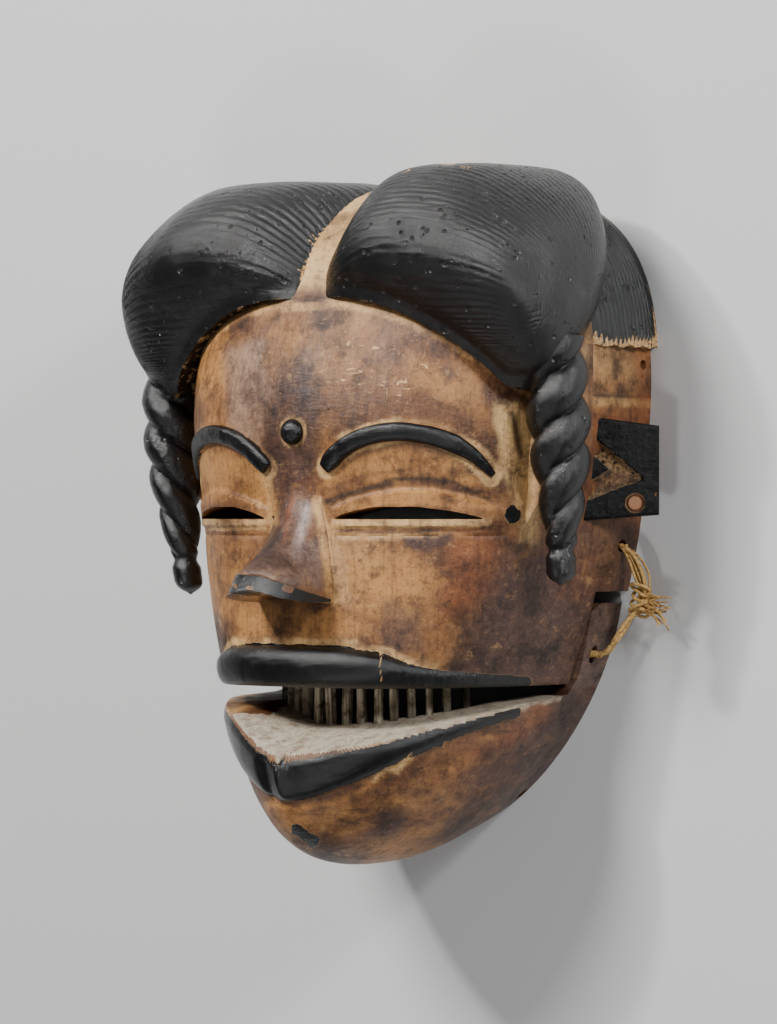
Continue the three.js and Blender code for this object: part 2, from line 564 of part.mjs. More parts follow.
function named(name, solid, look) {
  const { vertProperties, triVerts } = solid.getMesh();
  const geometry = new THREE.BufferGeometry();
  geometry.setAttribute('position', new THREE.BufferAttribute(Float32Array.from(vertProperties), 3));
  geometry.setIndex(new THREE.BufferAttribute(Uint32Array.from(triVerts), 1));
  geometry.computeVertexNormals();
  const mesh = new THREE.Mesh(geometry, new THREE.MeshStandardMaterial(look));
  mesh.name = name;
  return mesh;
}

const mask = new THREE.Group();
mask.add(named('upper_mask', upperMask(), WOOD));
mask.add(named('lower_jaw', lowerJaw(), WOOD));
toothPlaces().forEach((place, i) => {
  mask.add(named(`tooth_${String(i + 1).padStart(2, '0')}`, toothSolid(place, 0, TOOTH.topY), CANE));
});
mask.add(named('jaw_tie_left', tie(), RAFFIA));
mask.add(named('jaw_tie_right', tie().mirror([1, 0, 0]), RAFFIA));
mask.add(named('ear_peg_left', earPeg(PEG.foot, PEG.top, PEG.radius), WOOD));

export default mask;
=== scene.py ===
"""An Ogoni elu mask lying face up on a pale floor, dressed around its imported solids.

The fine surfaces are lofted from the same named sizes as the solids, in millimetres, and turned to metres
when each mesh is made. +X is the mask's own left, +Y its crown and +Z comes out of the face.
"""
import math

import bpy
import numpy as np
from mathutils import Matrix, Vector


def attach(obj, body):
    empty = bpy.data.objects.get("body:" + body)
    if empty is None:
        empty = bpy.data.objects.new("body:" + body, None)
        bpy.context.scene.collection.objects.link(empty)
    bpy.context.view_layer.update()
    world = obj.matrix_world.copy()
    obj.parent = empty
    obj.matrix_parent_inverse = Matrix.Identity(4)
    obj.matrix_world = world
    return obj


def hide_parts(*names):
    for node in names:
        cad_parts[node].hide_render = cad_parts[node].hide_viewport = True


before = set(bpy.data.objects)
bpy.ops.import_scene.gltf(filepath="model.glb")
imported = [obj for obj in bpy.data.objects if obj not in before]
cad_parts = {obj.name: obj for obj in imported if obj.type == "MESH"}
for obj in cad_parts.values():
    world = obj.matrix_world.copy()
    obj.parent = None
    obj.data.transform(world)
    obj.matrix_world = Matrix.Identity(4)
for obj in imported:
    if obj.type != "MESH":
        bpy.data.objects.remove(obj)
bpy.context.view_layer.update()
MM = 0.001
SIDES = ("left", "right")

# Camera: 38 degrees round to the mask's left, level with the middle of its face as it would hang
CAMERA_TURN = math.radians(38)
CAMERA_TARGET = Vector((0, 0, 0.041))
CAMERA_DISTANCE = 1.5
VIEW_HEIGHT = 0.3531
SENSOR = 36.0
PICTURE_CENTRE = (388.5, 512.0)
PICTURE_SCALE = 2.9  # picture points to a millimetre at the camera's target

camera_data = bpy.data.cameras.new("camera")
camera_data.sensor_fit = "VERTICAL"
camera_data.sensor_height = SENSOR
camera_data.lens = SENSOR * CAMERA_DISTANCE / VIEW_HEIGHT
camera_data.clip_start = 0.05
camera_data.clip_end = 20
camera = bpy.data.objects.new("camera", camera_data)
bpy.context.scene.collection.objects.link(camera)
camera_back = Vector((math.sin(CAMERA_TURN), 0, math.cos(CAMERA_TURN)))
camera_up = Vector((0, 1, 0))
camera_right = camera_up.cross(camera_back)
camera.location = CAMERA_TARGET + CAMERA_DISTANCE * camera_back
camera.rotation_euler = Matrix((camera_right, camera_up, camera_back)).transposed().to_euler()
bpy.context.scene.camera = camera

# Head
FACE_POWER = 2.5
FACE_BOTTOM_Y = -58.5
CROWN_Y = 114.0
WALL = 11.0
RAMUS_Z = 18.0
CHEEK_FOOT_Y = -27.0
MATING_GAP = 0.5
HALF_WIDTHS = [(-64, 58), (-45, 66), (-27, 72), (-5, 77), (20, 80), (50, 81.5), (75, 77), (95, 60),
               (108, 36), (113, 17), (CROWN_Y, 5)]
DEPTHS = [(-64, 96), (-45, 95.5), (-20, 94), (0, 92.5), (28, 95.5), (50, 92), (73, 84), (88, 77), (100, 65),
          (108, 52), (112, 38), (113.4, 22), (CROWN_Y, 6)]
FEATURE_X = 2.0  # the eyes, brows, boss and nose were carved this far to the mask's left
EYE_INNER_X = 15.1
EYE_OUTER_X = 59.0
EYE_LOWER_Y = -2.4
EYE_RISE = 4.0
LID_CREASE = [(13, 1.5), (15.5, 2.6), (27, 5.9), (40.3, 7.9), (50.8, 6.8), (58, 4.2), (63, 1.7)]
BROW_LINE = [(12.5, 14.8), (19, 20.6), (28, 24.9), (39, 26.6), (50, 24.6), (57.5, 19.5), (61.8, 12.3)]
BROW_WIDTH = 6.4
BROW_PROUD = 2.4
BOSS = {"y": 26.8, "radius": 4.4, "proud": 3.6}
NOSE = {"root_y": 14.0, "tip_y": -24.0, "base_y": -30.5, "root_half": 6.8, "base_half": 15.8, "lift": 4.5}
NOSE_PROUD = [(-30.5, 25.2), (-25.5, 22.6), (-21, 19.6), (-15, 15), (-6, 8.3), (4, 2.5), (14, 0.6)]
LIP_TURN_DEG = 80
LIP_HALF_HEIGHTS = [(-80, 1), (-45, 2.2), (-34, 3), (-28, 4.8), (-21, 6.2), (-10, 6.8), (10, 6.8), (25, 5.8),
                    (33, 4.3), (42, 3.1), (55, 2.3), (80, 1)]
LIP_PROUD = [(-80, 0.5), (-45, 0.8), (-34, 1.6), (-27, 4), (-20, 5.1), (15, 5.2), (26, 4.4), (34, 2.4),
             (45, 1.2), (80, 0.5)]
FACE_RELIEF = {"lid": 1.0, "over_lid": 0.7, "low_crease": 0.5, "brow_hollow": 0.8, "keel": 0.9, "temple": 0.8,
               "crack": 0.16, "tool_marks": 0.16, "tool_grain": 0.05, "lip_dents": 0.22}
HEAD_HOLLOW = {"low_y": -75, "top_y": 99, "low_z": -20, "crown_wall": 14, "crown_y": (70, 102), "adze": 0.5}

# Rows and columns of points in the finer meshes
FACE_COLUMNS = 310
NOSE_COLUMNS = 110
LOBE_MESH = (100, 560)
BAND_MESH = (150, 260)
BRAID_MESH = (230, 72)
WEB_ROWS = 90
EAR_MESH = (100, 110)
JAW_COLUMNS = 250

# Coiffure
LOBE_CENTRE = np.array([49.0, 72.0, 54.0])
LOBE_TOP = {"left": 46.5, "right": 43.0}
LOBE_POWER = 8
LOBE_FACINGS = [
    ((1, 0, 0), 46), ((0, 0, 1), 45), ((0, 0, -1), 34), ((0.6, 0.75, 0.1), 46), ((0.7, 0, 0.7), 51),
    ((-0.75, 0.23, 0.62), 58), ((-0.72, 0.5, 0.48), 54), ((-0.75, 0.63, 0.2), 66), ((0, 0.7, 0.7), 47),
    ((0, -0.5, 0.87), 30), ((0, -1, 0), 40), ((0.6, -0.6, 0.5), 51), ((-1, 0, 0), 72), ((0.5, 0.6, 0.6), 46),
    ((0, -0.8, -0.6), 28), ((0.6, -0.6, -0.5), 36), ((0.7, 0, -0.7), 43)]
COMB_ROOT_Y = 50
COMB_ROOT_Z = 59
COMB = {  # grooves to a turn about the root, and their depth in the open, by the parting and at the edge
    "left": {"rate": 360 / 2.3, "open": 0.16, "strip": 0.14, "edge": 0.12},
    "right": {"rate": 360 / 2.9, "open": 0.10, "strip": 0.52, "edge": 0.40}}
CROWN_TRIM = (0.4, 115, 118.3)  # keeps the top of the lobes' relief inside the solids
CROWN_CHIPS = [((43, 116, 62), (5, 3, 6)), ((30, 115, 70), (3, 3, 4)), ((52, 114, 66), (4, 2, 3))]
HAIRLINE = [(0, 71.5), (10, 72), (20, 71.3), (36, 67.3), (53, 58.6), (66, 48.3), (72, 41.5), (80, 39.5),
            (92, 39.5), (110, 42)]
PARTING_FRONT_HALF = 5.6
PARTING_BACK_HALF = 0.2
PARTING_CLOSED_Z = 45.0
BAND = {"half_width": 84.5, "centre_y": 40.0, "reach_y": 73.0, "foot_y": 56.0, "power": 3.0, "pitch": 1.9}
BAND_ROWS = [(0, 1), (9, 1), (20, 0.985), (29, 0.95), (36, 0.88)]
BRAID = {"x": 83.0, "z": 59.0, "top_y": 58.0, "radius": 10.4, "end_radius": 4.8, "pitch": 30.0, "bow": 1.5,
         "back_lean": 4.0}
BRAID_SIDES = {"left": (-24.0, 0.0), "right": (-29.0, 5.5)}
BRAID_WEB = [(55, 30), (80, 32), (86, 40), (86, 54), (60, 56)]
BRAID_WEB_FOOT_Y = -14.0

# Ears
EAR = {"inner_x": 72.0, "inner_z": 34.0, "reach": 30.0, "top_y": 34.0, "foot_y": -3.5, "thickness": 6.6,
       "turn": math.radians(38.5), "root": 14.0}
CHEVRON = [(2.0, 24.6), (4.6, 28.2), (24.4, 12.0), (24.4, 10.6), (1.6, 3.4), (1.6, 7.7), (13.2, 14.4)]
CHEVRON_DEPTH = 2.0
CHEVRON_LOWER_ARM = [(1, 2), (24, 10.5), (24, 12.4), (13.2, 14.6), (1, 8)]
CHEVRON_UPPER_ARM = [(1, 24), (13.2, 14), (24, 11), (24, 12.4), (4, 29)]
CHEVRON_POINT = [(13, 9), (24, 10.6), (24, 12.4), (15, 15)]
PEG = {"along": 21.8, "y": 3.0, "radius": 2.4, "foot": -6.0, "top": -0.9, "clearance": 0.6}
RIM_HOLE = {"y": 50.0, "z": 4.6, "radius": 1.7}

# Lower jaw
HINGE_Y = -48.5
HINGE_Z = 11.0
JAW = {"top_y": -31.0, "spring_y": -25.0, "half_width": 70.0, "lip_z": 104.5, "lip_y": -80.0,
       "chin_y": -120.0, "chin_z": 57.0, "rear_chin_y": -111.0, "wall": 9.5, "skew": 0.05, "right_lift": 8.0,
       "middle_z": 30.0}
MOUTH_REAR_Y = -61.5
MOUTH_FRONT_DROP = 18.5
SHELF_INNER_Z = 78.0
LOWER_LIP = {"foot_y": -96.3, "foot_rise": 27.4, "proud": 2.8, "edge_proud": 0.5,
             "half_turn": math.radians(80)}
CHIN_HOLE = ((20, -96, 3), (60, -104, 3), 2.2)
TOOTH = {"count": 17, "width": 2.8, "depth": 3.8, "top_y": -53.0, "root": 7.0, "span": math.radians(56),
         "row_half": 45.2}
TIE = {"y": -11.5, "z": 9.0, "hole": 2.1, "jaw_stretch": 1.5}
TIE_KNOT = np.array([83.5, -30.0, 9.0])
TIE_ROUTE = [(66, -11.5, 9), (77, -11.5, 9), (82, -18, 9), (84, -27, 9), (79, -37, 10), (71, -47.5, 11),
             (64, -48.5, 11), (55, -48.5, 11), (54.5, -40, 10), (56, -26, 9.5), (60, -14.5, 9)]
TIE_END_X = 95.4
TIE_STRANDS = {"inside": 3, "lower": 4, "upper": 9, "knot": 7, "frayed": 26}

random = np.random.default_rng(11)


def smooth(edge0, edge1, at):
    t = np.clip((np.asarray(at, float) - edge0) / (edge1 - edge0), 0, 1)
    return t * t * (3 - 2 * t)


def bell(offset, width):
    return np.exp(-(offset / width) ** 2)


def signed_power(value, power):
    return np.sign(value) * np.abs(value) ** power


def rounded(share, power, least):
    """The height of a rounded form from its middle, where share is 0, to its end, where share is 1."""
    return np.maximum(1 - share ** power, least) ** (1 / power)


def unit(vectors):
    return vectors / np.maximum(np.linalg.norm(vectors, axis=-1, keepdims=True), 1e-9)


def circle(count):
    return np.linspace(0, 2 * np.pi, count, endpoint=False)


def grid(x, y, z):
    """Points from coordinates that are given by row, by column or once."""
    return np.stack(np.broadcast_arrays(x, y, z), axis=-1)


def profile(pairs):
    """A smooth curve through (position, value) pairs, held level past its ends."""
    xs, vs = (np.array(column, float) for column in zip(*pairs))
    before = np.maximum(np.arange(len(xs)) - 1, 0)
    after = np.minimum(np.arange(len(xs)) + 1, len(xs) - 1)
    slopes = (vs[after] - vs[before]) / (xs[after] - xs[before])

    def value(at):
        at = np.clip(np.asarray(at, float), xs[0], xs[-1])
        i = np.clip(np.searchsorted(xs, at), 1, len(xs) - 1)
        span = xs[i] - xs[i - 1]
        t = (at - xs[i - 1]) / span
        return ((2 * t ** 3 - 3 * t ** 2 + 1) * vs[i - 1] + (t ** 3 - 2 * t ** 2 + t) * slopes[i - 1] * span
                + (-2 * t ** 3 + 3 * t ** 2) * vs[i] + (t ** 3 - t ** 2) * slopes[i] * span)
    return value


def spline(points, count):
    """Points along a curve through the given points."""
    p = np.array(points, float)
    at = np.linspace(0, len(p) - 1, count)
    i = np.minimum(at.astype(int), len(p) - 2)
    t = (at - i)[:, None]
    p0, p1, p2, p3 = (p[np.clip(i + k, 0, len(p) - 1)] for k in (-1, 0, 1, 2))
    v0, v1 = (p2 - p0) / 2, (p3 - p1) / 2
    return (2 * p1 - 2 * p2 + v0 + v1) * t ** 3 + (-3 * p1 + 3 * p2 - 2 * v0 - v1) * t ** 2 + v0 * t + p1


def lattice(points, size, seed):
    """Smooth noise between -1 and 1 over points in millimetres, with features about one size across."""
    q = np.asarray(points, float) / size + seed * 17.31
    base = np.floor(q).astype(np.int64)
    f = q - base
    f = f * f * (3 - 2 * f)
    total = 0
    for corner in np.ndindex(2, 2, 2):
        cell = base + corner
        h = (cell[..., 0] * 73856093) ^ (cell[..., 1] * 19349663) ^ (cell[..., 2] * 83492791)
        h = (h ^ (h >> 13)) * 1274126177 & 0xFFFFFF
        near = np.abs(1 - np.array(corner) - f)
        total = total + near[..., 0] * near[..., 1] * near[..., 2] * (h / 0x7FFFFF - 1)
    return total


def noise(points, size, seed, octaves=3):
    return sum(lattice(points, size / 2 ** k, seed + k) / 2 ** k for k in range(octaves)) / 1.6


half_width = profile(HALF_WIDTHS)
depth = profile(DEPTHS)
lip_half_height = profile(LIP_HALF_HEIGHTS)
lip_proud = profile(LIP_PROUD)
nose_proud = profile(NOSE_PROUD)
lid_crease = profile(LID_CREASE)
hair_line = spline(HAIRLINE, 80)


# Mesh making
def mesh_object(name, points, faces):
    mesh = bpy.data.meshes.new(name)
    mesh.from_pydata((np.asarray(points, float) * MM).tolist(), [], faces)
    mesh.validate()
    obj = bpy.data.objects.new(name, mesh)
    bpy.context.scene.collection.objects.link(obj)
    return obj


def loft(name, rings):
    """A closed mesh through rings of equal length, its ends closed by fans, with its faces turned out."""
    rows, columns = rings.shape[:2]
    middle = rings.mean(axis=1)
    points = np.vstack([rings.reshape(-1, 3), middle[0], middle[-1]])
    r, c = np.meshgrid(np.arange(rows - 1), np.arange(columns), indexing="ij")
    a = (r * columns + c).ravel()
    b = (r * columns + (c + 1) % columns).ravel()
    quads = np.stack([a, b, b + columns, a + columns], 1)
    ring = np.arange(columns)
    ahead = (ring + 1) % columns
    low = np.stack([ahead, ring, np.full(columns, rows * columns)], 1)
    high = np.stack([ring, ahead, np.full(columns, rows * columns + 1)], 1)
    high[:, :2] += (rows - 1) * columns
    volume = 0
    for triangles in (quads[:, :3], quads[:, [0, 2, 3]], low, high):
        q = points[triangles]
        volume += np.einsum("ij,ij->", q[:, 0], np.cross(q[:, 1], q[:, 2]))
    faces = quads.tolist() + low.tolist() + high.tolist()
    if volume < 0:
        faces = [face[::-1] for face in faces]
    return mesh_object(name, points, faces)


def block(low, high, name="cutter"):
    (x0, y0, z0), (x1, y1, z1) = low, high
    ring = [(x0, y0), (x1, y0), (x1, y1), (x0, y1)]
    return loft(name, np.array([[(x, y, z) for x, y in ring] for z in (z0, z1)], float))


def prism(outline, start, end, place):
    """A cutter with one outline, put at both ends by place(point, end)."""
    return loft("cutter", np.array([[place(point, at) for point in outline] for at in (start, end)], float))


def bar(start, end, radius, sides=24, stretch=1.0):
    """A round cutter, or an oval one, between two points."""
    start, end = np.array(start, float), np.array(end, float)
    up = np.array([0.0, 1.0, 0.0])
    side = unit(np.cross(end - start, up))
    angle = circle(sides)[:, None]
    ring = radius * (side * np.cos(angle) + up * stretch * np.sin(angle))
    return loft("cutter", np.array([start + ring, end + ring]))


def cut(obj, cutters):
    """Takes closed cutters away from a closed mesh."""
    for cutter in cutters:
        modifier = obj.modifiers.new("cut", "BOOLEAN")
        modifier.operation = "DIFFERENCE"
        modifier.solver = "MANIFOLD"
        modifier.object = cutter
        bpy.context.view_layer.update()
        evaluated = obj.evaluated_get(bpy.context.evaluated_depsgraph_get())
        result = bpy.data.meshes.new_from_object(evaluated)
        obj.modifiers.clear()
        if len(result.polygons) == 0:
            raise RuntimeError(f"nothing is left of {obj.name}")
        old = obj.data
        obj.data = result
        bpy.data.meshes.remove(old)
    for cutter in cutters:
        bpy.data.meshes.remove(cutter.data)


def on_both_sides(cutter):
    """A cutter and its mirror image across the middle of the mask."""
    faces = [list(p.vertices)[::-1] for p in cutter.data.polygons]
    return [mesh_object(cutter.name, vertices(cutter) * (-1, 1, 1), faces), cutter]


def mirror_piece(obj):
    points = vertices(obj) * (-1, 1, 1) * MM
    obj.data.vertices.foreach_set("co", points.ravel())
    obj.data.flip_normals()
    obj.data.update()


def vertices(obj):
    points = np.empty(len(obj.data.vertices) * 3)
    obj.data.vertices.foreach_get("co", points)
    return points.reshape(-1, 3) / MM


def normals(obj):
    result = np.empty(len(obj.data.vertices) * 3)
    obj.data.vertices.foreach_get("normal", result)
    return result.reshape(-1, 3)


def paint(obj, name, values):
    """Gives each vertex a number or a colour. A piece without an attribute has 0 for it."""
    values = np.asarray(values, float)
    if values.ndim == 2:
        layer = obj.data.attributes.new(name, "FLOAT_COLOR", "POINT")
        rgba = np.concatenate([values, np.ones((len(values), 1))], axis=1)
        layer.data.foreach_set("color", rgba.ravel())
    else:
        layer = obj.data.attributes.new(name, "FLOAT", "POINT")
        layer.data.foreach_set("value", values)


def finish_piece(obj, body, material, replaced=(), sharp=40):
    obj.data.materials.clear()
    obj.data.materials.append(material)
    obj.data.polygons.foreach_set("use_smooth", [True] * len(obj.data.polygons))
    obj.data.set_sharp_from_angle(angle=math.radians(sharp))
    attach(obj, body)
    if replaced:
        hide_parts(*replaced)


def grid_normals(points):
    """Unit normals of a grid of points whose rows go up and whose columns go round."""
    return unit(np.cross(np.gradient(points, axis=1), np.gradient(points, axis=0)))


# Materials
def srgb(r, g, b):
    c = np.array([r, g, b]) / 255
    return tuple(np.where(c <= 0.04045, c / 12.92, ((c + 0.055) / 1.055) ** 2.4))


class Shader:
    """Short ways to lay out one node material."""

    def __init__(self, name):
        self.material = bpy.data.materials.new(name)
        self.material.use_nodes = True
        self.nodes = self.material.node_tree.nodes
        self.links = self.material.node_tree.links
        self.surface = self.nodes["Principled BSDF"]
        self.place = self.nodes.new("ShaderNodeTexCoord").outputs["Object"]

    def put(self, socket, value):
        if isinstance(value, bpy.types.NodeSocket):
            self.links.new(value, socket)
        elif isinstance(value, tuple) and socket.type == "RGBA":
            socket.default_value = (*value, 1)
        elif value is not None:
            socket.default_value = value

    def noise(self, scale, detail=4, rough=0.6, stretch=None, distortion=0.0):
        node = self.nodes.new("ShaderNodeTexNoise")
        place = self.place
        if stretch:
            mapping = self.nodes.new("ShaderNodeMapping")
            self.put(mapping.inputs["Vector"], place)
            self.put(mapping.inputs["Scale"], stretch)
            place = mapping.outputs["Vector"]
        settings = {"Vector": place, "Scale": scale, "Detail": detail, "Roughness": rough,
                    "Distortion": distortion}
        for key, value in settings.items():
            self.put(node.inputs[key], value)
        return node.outputs["Fac"]

    def attribute(self, name, output="Fac"):
        node = self.nodes.new("ShaderNodeAttribute")
        node.attribute_name = name
        return node.outputs[output]

    def math(self, kind, a, b=None, c=None, clamp=False):
        node = self.nodes.new("ShaderNodeMath")
        node.operation = kind
        node.use_clamp = clamp
        for socket, value in zip(node.inputs, (a, b, c)):
            self.put(socket, value)
        return node.outputs["Value"]

    def total(self, start, *terms):
        """A start value with (value, weight) terms added to it."""
        for value, weight in terms:
            start = self.math("MULTIPLY_ADD", value, weight, start)
        return start

    def ramp(self, value, low, high, to_low=0.0, to_high=1.0):
        node = self.nodes.new("ShaderNodeMapRange")
        node.interpolation_type = "SMOOTHSTEP"
        settings = {"Value": value, "From Min": low, "From Max": high, "To Min": to_low, "To Max": to_high}
        for key, number in settings.items():
            self.put(node.inputs[key], number)
        return node.outputs["Result"]

    def mix(self, factor, a, b, blend="MIX"):
        node = self.nodes.new("ShaderNodeMix")
        node.data_type = "RGBA"
        node.blend_type = blend
        self.put(node.inputs["Factor"], factor)
        for key, value in (("A", a), ("B", b)):
            self.put(next(s for s in node.inputs if s.name == key and s.type == "RGBA"), value)
        return next(s for s in node.outputs if s.type == "RGBA")

    def layered(self, colour, *layers):
        """A colour under tones, each growing to its strength as a value goes from low to high."""
        for value, low, high, strength, tone, *blend in layers:
            colour = self.mix(self.ramp(value, low, high, 0, strength), colour, tone, *blend)
        return colour

    def frayed(self, name, amount, *texture):
        """An attribute whose edges are broken up by noise."""
        shift = self.math("SUBTRACT", self.noise(*texture), 0.5)
        return self.math("MULTIPLY_ADD", shift, amount, self.attribute(name))

    def worm_holes(self, spacing, size, share):
        """Round dark pits, one in a share of the cells of a lattice: 1 inside a pit."""
        cells = self.nodes.new("ShaderNodeTexVoronoi")
        self.put(cells.inputs["Vector"], self.place)
        self.put(cells.inputs["Scale"], 1 / spacing)
        pick = self.nodes.new("ShaderNodeSeparateColor")
        self.put(pick.inputs["Color"], cells.outputs["Color"])
        near = self.ramp(cells.outputs["Distance"], size / spacing * 0.35, size / spacing * 0.62, 1, 0)
        return self.math("MULTIPLY", near, self.ramp(pick.outputs["Red"], 1 - share, 1 - share + 0.02))

    def finish(self, colour, roughness, height, strength, distance, specular=0.5):
        """Sets the surface's colour, gloss and relief."""
        bump = self.nodes.new("ShaderNodeBump")
        for key, value in (("Height", height), ("Strength", strength), ("Distance", distance)):
            self.put(bump.inputs[key], value)
        surface = {"Base Color": colour, "Roughness": roughness, "Specular IOR Level": specular,
                   "Normal": bump.outputs["Normal"]}
        for key, value in surface.items():
            self.put(self.surface.inputs[key], value)
        return self.material


BLACK = srgb(6, 6, 7)
BLACK_WORN = srgb(28, 24, 22)
BLACK_RUBBED = srgb(104, 88, 72)
# painted glint: the pale flecks that stand for sparkles of light on the black coiffure
HAIR_PAINTED_GLINT = srgb(104, 92, 82)
HAIR_PIT = srgb(3, 3, 3)
WOOD_PIT = srgb(18, 13, 11)
CREAM = srgb(226, 184, 124)
PALE = srgb(202, 156, 100)
GOLD = srgb(184, 130, 72)
BROWN = srgb(132, 86, 50)
RUST = srgb(136, 76, 38)
UMBER = srgb(94, 60, 38)
PURPLE = srgb(80, 56, 48)
GREY_PURPLE = srgb(112, 90, 80)
PINK_GREY = srgb(158, 126, 104)
# painted highlight colour for the ridge of the nose
RIDGE_HIGHLIGHT_LILAC = srgb(168, 150, 146)
EAR_GREY = srgb(122, 106, 90)
DEEP = srgb(48, 32, 24)
KAOLIN = srgb(178, 166, 146)
# painted light and shade: a darker and a lighter copy of the kaolin
KAOLIN_PAINTED_SHADE = srgb(124, 106, 82)
KAOLIN_PAINTED_LIGHT = srgb(214, 204, 184)
CANE_TONES = (srgb(84, 70, 54), srgb(196, 184, 160))
CANE_STAIN = srgb(62, 50, 38)
CANE_SHADE = srgb(48, 38, 30)
RAFFIA_TONES = (srgb(140, 100, 52), srgb(222, 184, 116))
PEG_TONES = (srgb(120, 74, 50), srgb(196, 142, 104))
FLOOR_TONE = srgb(205, 205, 205)


def carved_wood(name, holes=0.1, gloss=0.0, run=(1, 0.07, 1)):
    """Patinated wood. The tint colours it, and pigment and chalk say where it is black or white."""
    s = Shader(name)
    grain = s.noise(620, 6, 0.7, run)
    veins = s.noise(260, 6, 0.7, tuple(min(2.2 * share, 1) for share in run), 0.4)
    mottle = s.noise(120, 9, 0.72)
    smudge = s.noise(46, 7, 0.68)
    fine = s.noise(1300, 4, 0.75)
    scratch = s.noise(420, 2, 0.5, (0.2, 1, 1), 1.6)
    crossing = s.noise(380, 2, 0.5, (1, 0.25, 1), 2.2)
    speck = s.noise(560, 6, 0.85)
    colour = s.layered(
        s.attribute("tint", "Color"),
        (speck, 0.52, 0.6, 0.45, BROWN, "MULTIPLY"),
        (speck, 0.45, 0.38, 0.18, PALE),
        (smudge, 0.46, 0.66, 0.75, UMBER, "MULTIPLY"),
        (smudge, 0.44, 0.34, 0.3, GOLD),
        (veins, 0.5, 0.7, 0.4, UMBER, "MULTIPLY"),
        (mottle, 0.52, 0.64, 0.6, PURPLE, "MULTIPLY"),
        (grain, 0.5, 0.7, 0.4, UMBER, "MULTIPLY"),
        (mottle, 0.42, 0.32, 0.35, PALE),
        (fine, 0.64, 0.74, 0.25, PALE))
    scratched = s.total(0.08, (s.attribute("scratched"), 0.5))
    for lines, low, high, tone in ((scratch, 0.66, 0.69, CREAM), (crossing, 0.68, 0.71, PALE)):
        colour = s.mix(s.math("MULTIPLY", s.ramp(lines, low, high), scratched), colour, tone)
    colour = s.layered(colour, (fine, 0.38, 0.28, 0.55, DEEP))
    edge = s.frayed("pigment", 0.95, 400, 8, 0.8)
    black = s.ramp(edge, 0.44, 0.54)
    flaked = s.math("MULTIPLY", s.ramp(edge, 0.40, 0.47), s.ramp(edge, 0.50, 0.44))
    pigment = s.layered(BLACK, (mottle, 0.5, 0.66, 0.6, BLACK_WORN), (fine, 0.66, 0.74, 0.15, BLACK_RUBBED))
    colour = s.mix(black, colour, pigment)
    colour = s.mix(s.math("MULTIPLY", flaked, 0.6), colour, CREAM)
    chalk = s.ramp(s.frayed("chalk", 0.8, 330, 6, 0.7), 0.45, 0.6)
    tears = s.noise(210, 5, 0.62, (1, 1, 0.5), 1.3)
    cracks = s.ramp(s.math("ABSOLUTE", s.math("SUBTRACT", tears, 0.5)), 0.0, 0.022, 1, 0)
    crumbs = s.noise(300, 7, 0.72)
    # painted light and shade on the chalk: darker where the crumb noise is high, lighter where it is low
    chalk_colour = s.layered(
        KAOLIN,
        (crumbs, 0.48, 0.64, 0.7, KAOLIN_PAINTED_SHADE),
        (crumbs, 0.42, 0.3, 0.6, KAOLIN_PAINTED_LIGHT),
        (mottle, 0.5, 0.62, 0.3, BROWN))
    chalk_colour = s.mix(s.math("MULTIPLY", cracks, 0.3), chalk_colour, DEEP)
    colour = s.mix(chalk, colour, chalk_colour)
    pits = s.worm_holes(0.0085, 0.0011, holes)
    colour = s.mix(pits, colour, WOOD_PIT)
    rough = s.total(0.2 - 0.1 * gloss, (mottle, 0.5), (chalk, 0.35), (s.attribute("polish"), -0.2))
    rough = s.math("MULTIPLY_ADD", black, -0.25, rough, clamp=True)
    height = s.total(
        mottle, (grain, 0.5), (fine, 0.3), (scratch, 0.2), (black, 0.5),
        (s.math("MULTIPLY", chalk, crumbs), 0.6), (s.math("MULTIPLY", cracks, chalk), -0.6), (pits, -2.0))
    return s.finish(colour, rough, height, 0.55, 0.0009, specular=0.5 + 0.3 * min(gloss, 0))


def hair_wood(name, holes, grooves, sheen):
    """Black pigment over the combed coiffure, worn to brown on the raised edges that "wear" marks."""
    s = Shader(name)
    grain = s.noise(420, 6, 0.7, (0.35, 1, 1))
    mottle = s.noise(150, 9, 0.7)
    fine = s.noise(1200, 4, 0.75)
    # the pale flecks on the fine noise peaks are painted glints
    colour = s.layered(BLACK, (mottle, 0.5, 0.66, 0.5, BLACK_WORN), (fine, 0.64, 0.74, 0.15, HAIR_PAINTED_GLINT))
    worn = s.ramp(s.frayed("wear", 1.1, 240, 7, 0.72), 0.5, 0.68)
    colour = s.mix(worn, colour, s.mix(s.ramp(fine, 0.35, 0.6), BROWN, CREAM))
    dark = s.math("MAXIMUM", s.worm_holes(0.0058, 0.0017, holes), s.worm_holes(0.0029, 0.0009, 0.35))
    colour = s.mix(dark, colour, HAIR_PIT)
    rough = s.total(sheen, (mottle, 0.3), (dark, 0.4))
    rough = s.math("MULTIPLY_ADD", worn, 0.2, rough, clamp=True)
    height = s.total(
        s.math("MULTIPLY", mottle, 1.4), (grain, grooves), (fine, 0.3), (worn, -0.4), (dark, -3.6))
    return s.finish(colour, rough, height, 0.45, 0.001, specular=0.65)


def cane_wood():
    s = Shader("cane")
    fibre = s.noise(1000, 6, 0.75, (1, 0.04, 1))
    stain = s.noise(300, 5)
    colour = s.mix(s.ramp(fibre, 0.35, 0.62), *CANE_TONES)
    # the shade attribute holds each stick's own tone with painted shade added
    colour = s.layered(colour, (stain, 0.5, 0.66, 0.75, CANE_STAIN),
                       (s.attribute("shade"), 0.5, 1.0, 0.9, CANE_SHADE))
    return s.finish(colour, 0.78, fibre, 0.8, 0.0006, specular=0.3)


def raffia_fibre():
    s = Shader("raffia")
    fibre = s.noise(900, 5, 0.7)
    colour = s.mix(s.ramp(fibre, 0.3, 0.7), *RAFFIA_TONES)
    return s.finish(colour, 0.7, fibre, 0.4, 0.0003, specular=0.3)


def peg_end():
    s = Shader("peg_wood")
    rings = s.noise(1600)
    return s.finish(s.mix(rings, *PEG_TONES), 0.55, rings, 0.4, 0.0003, specular=0.4)


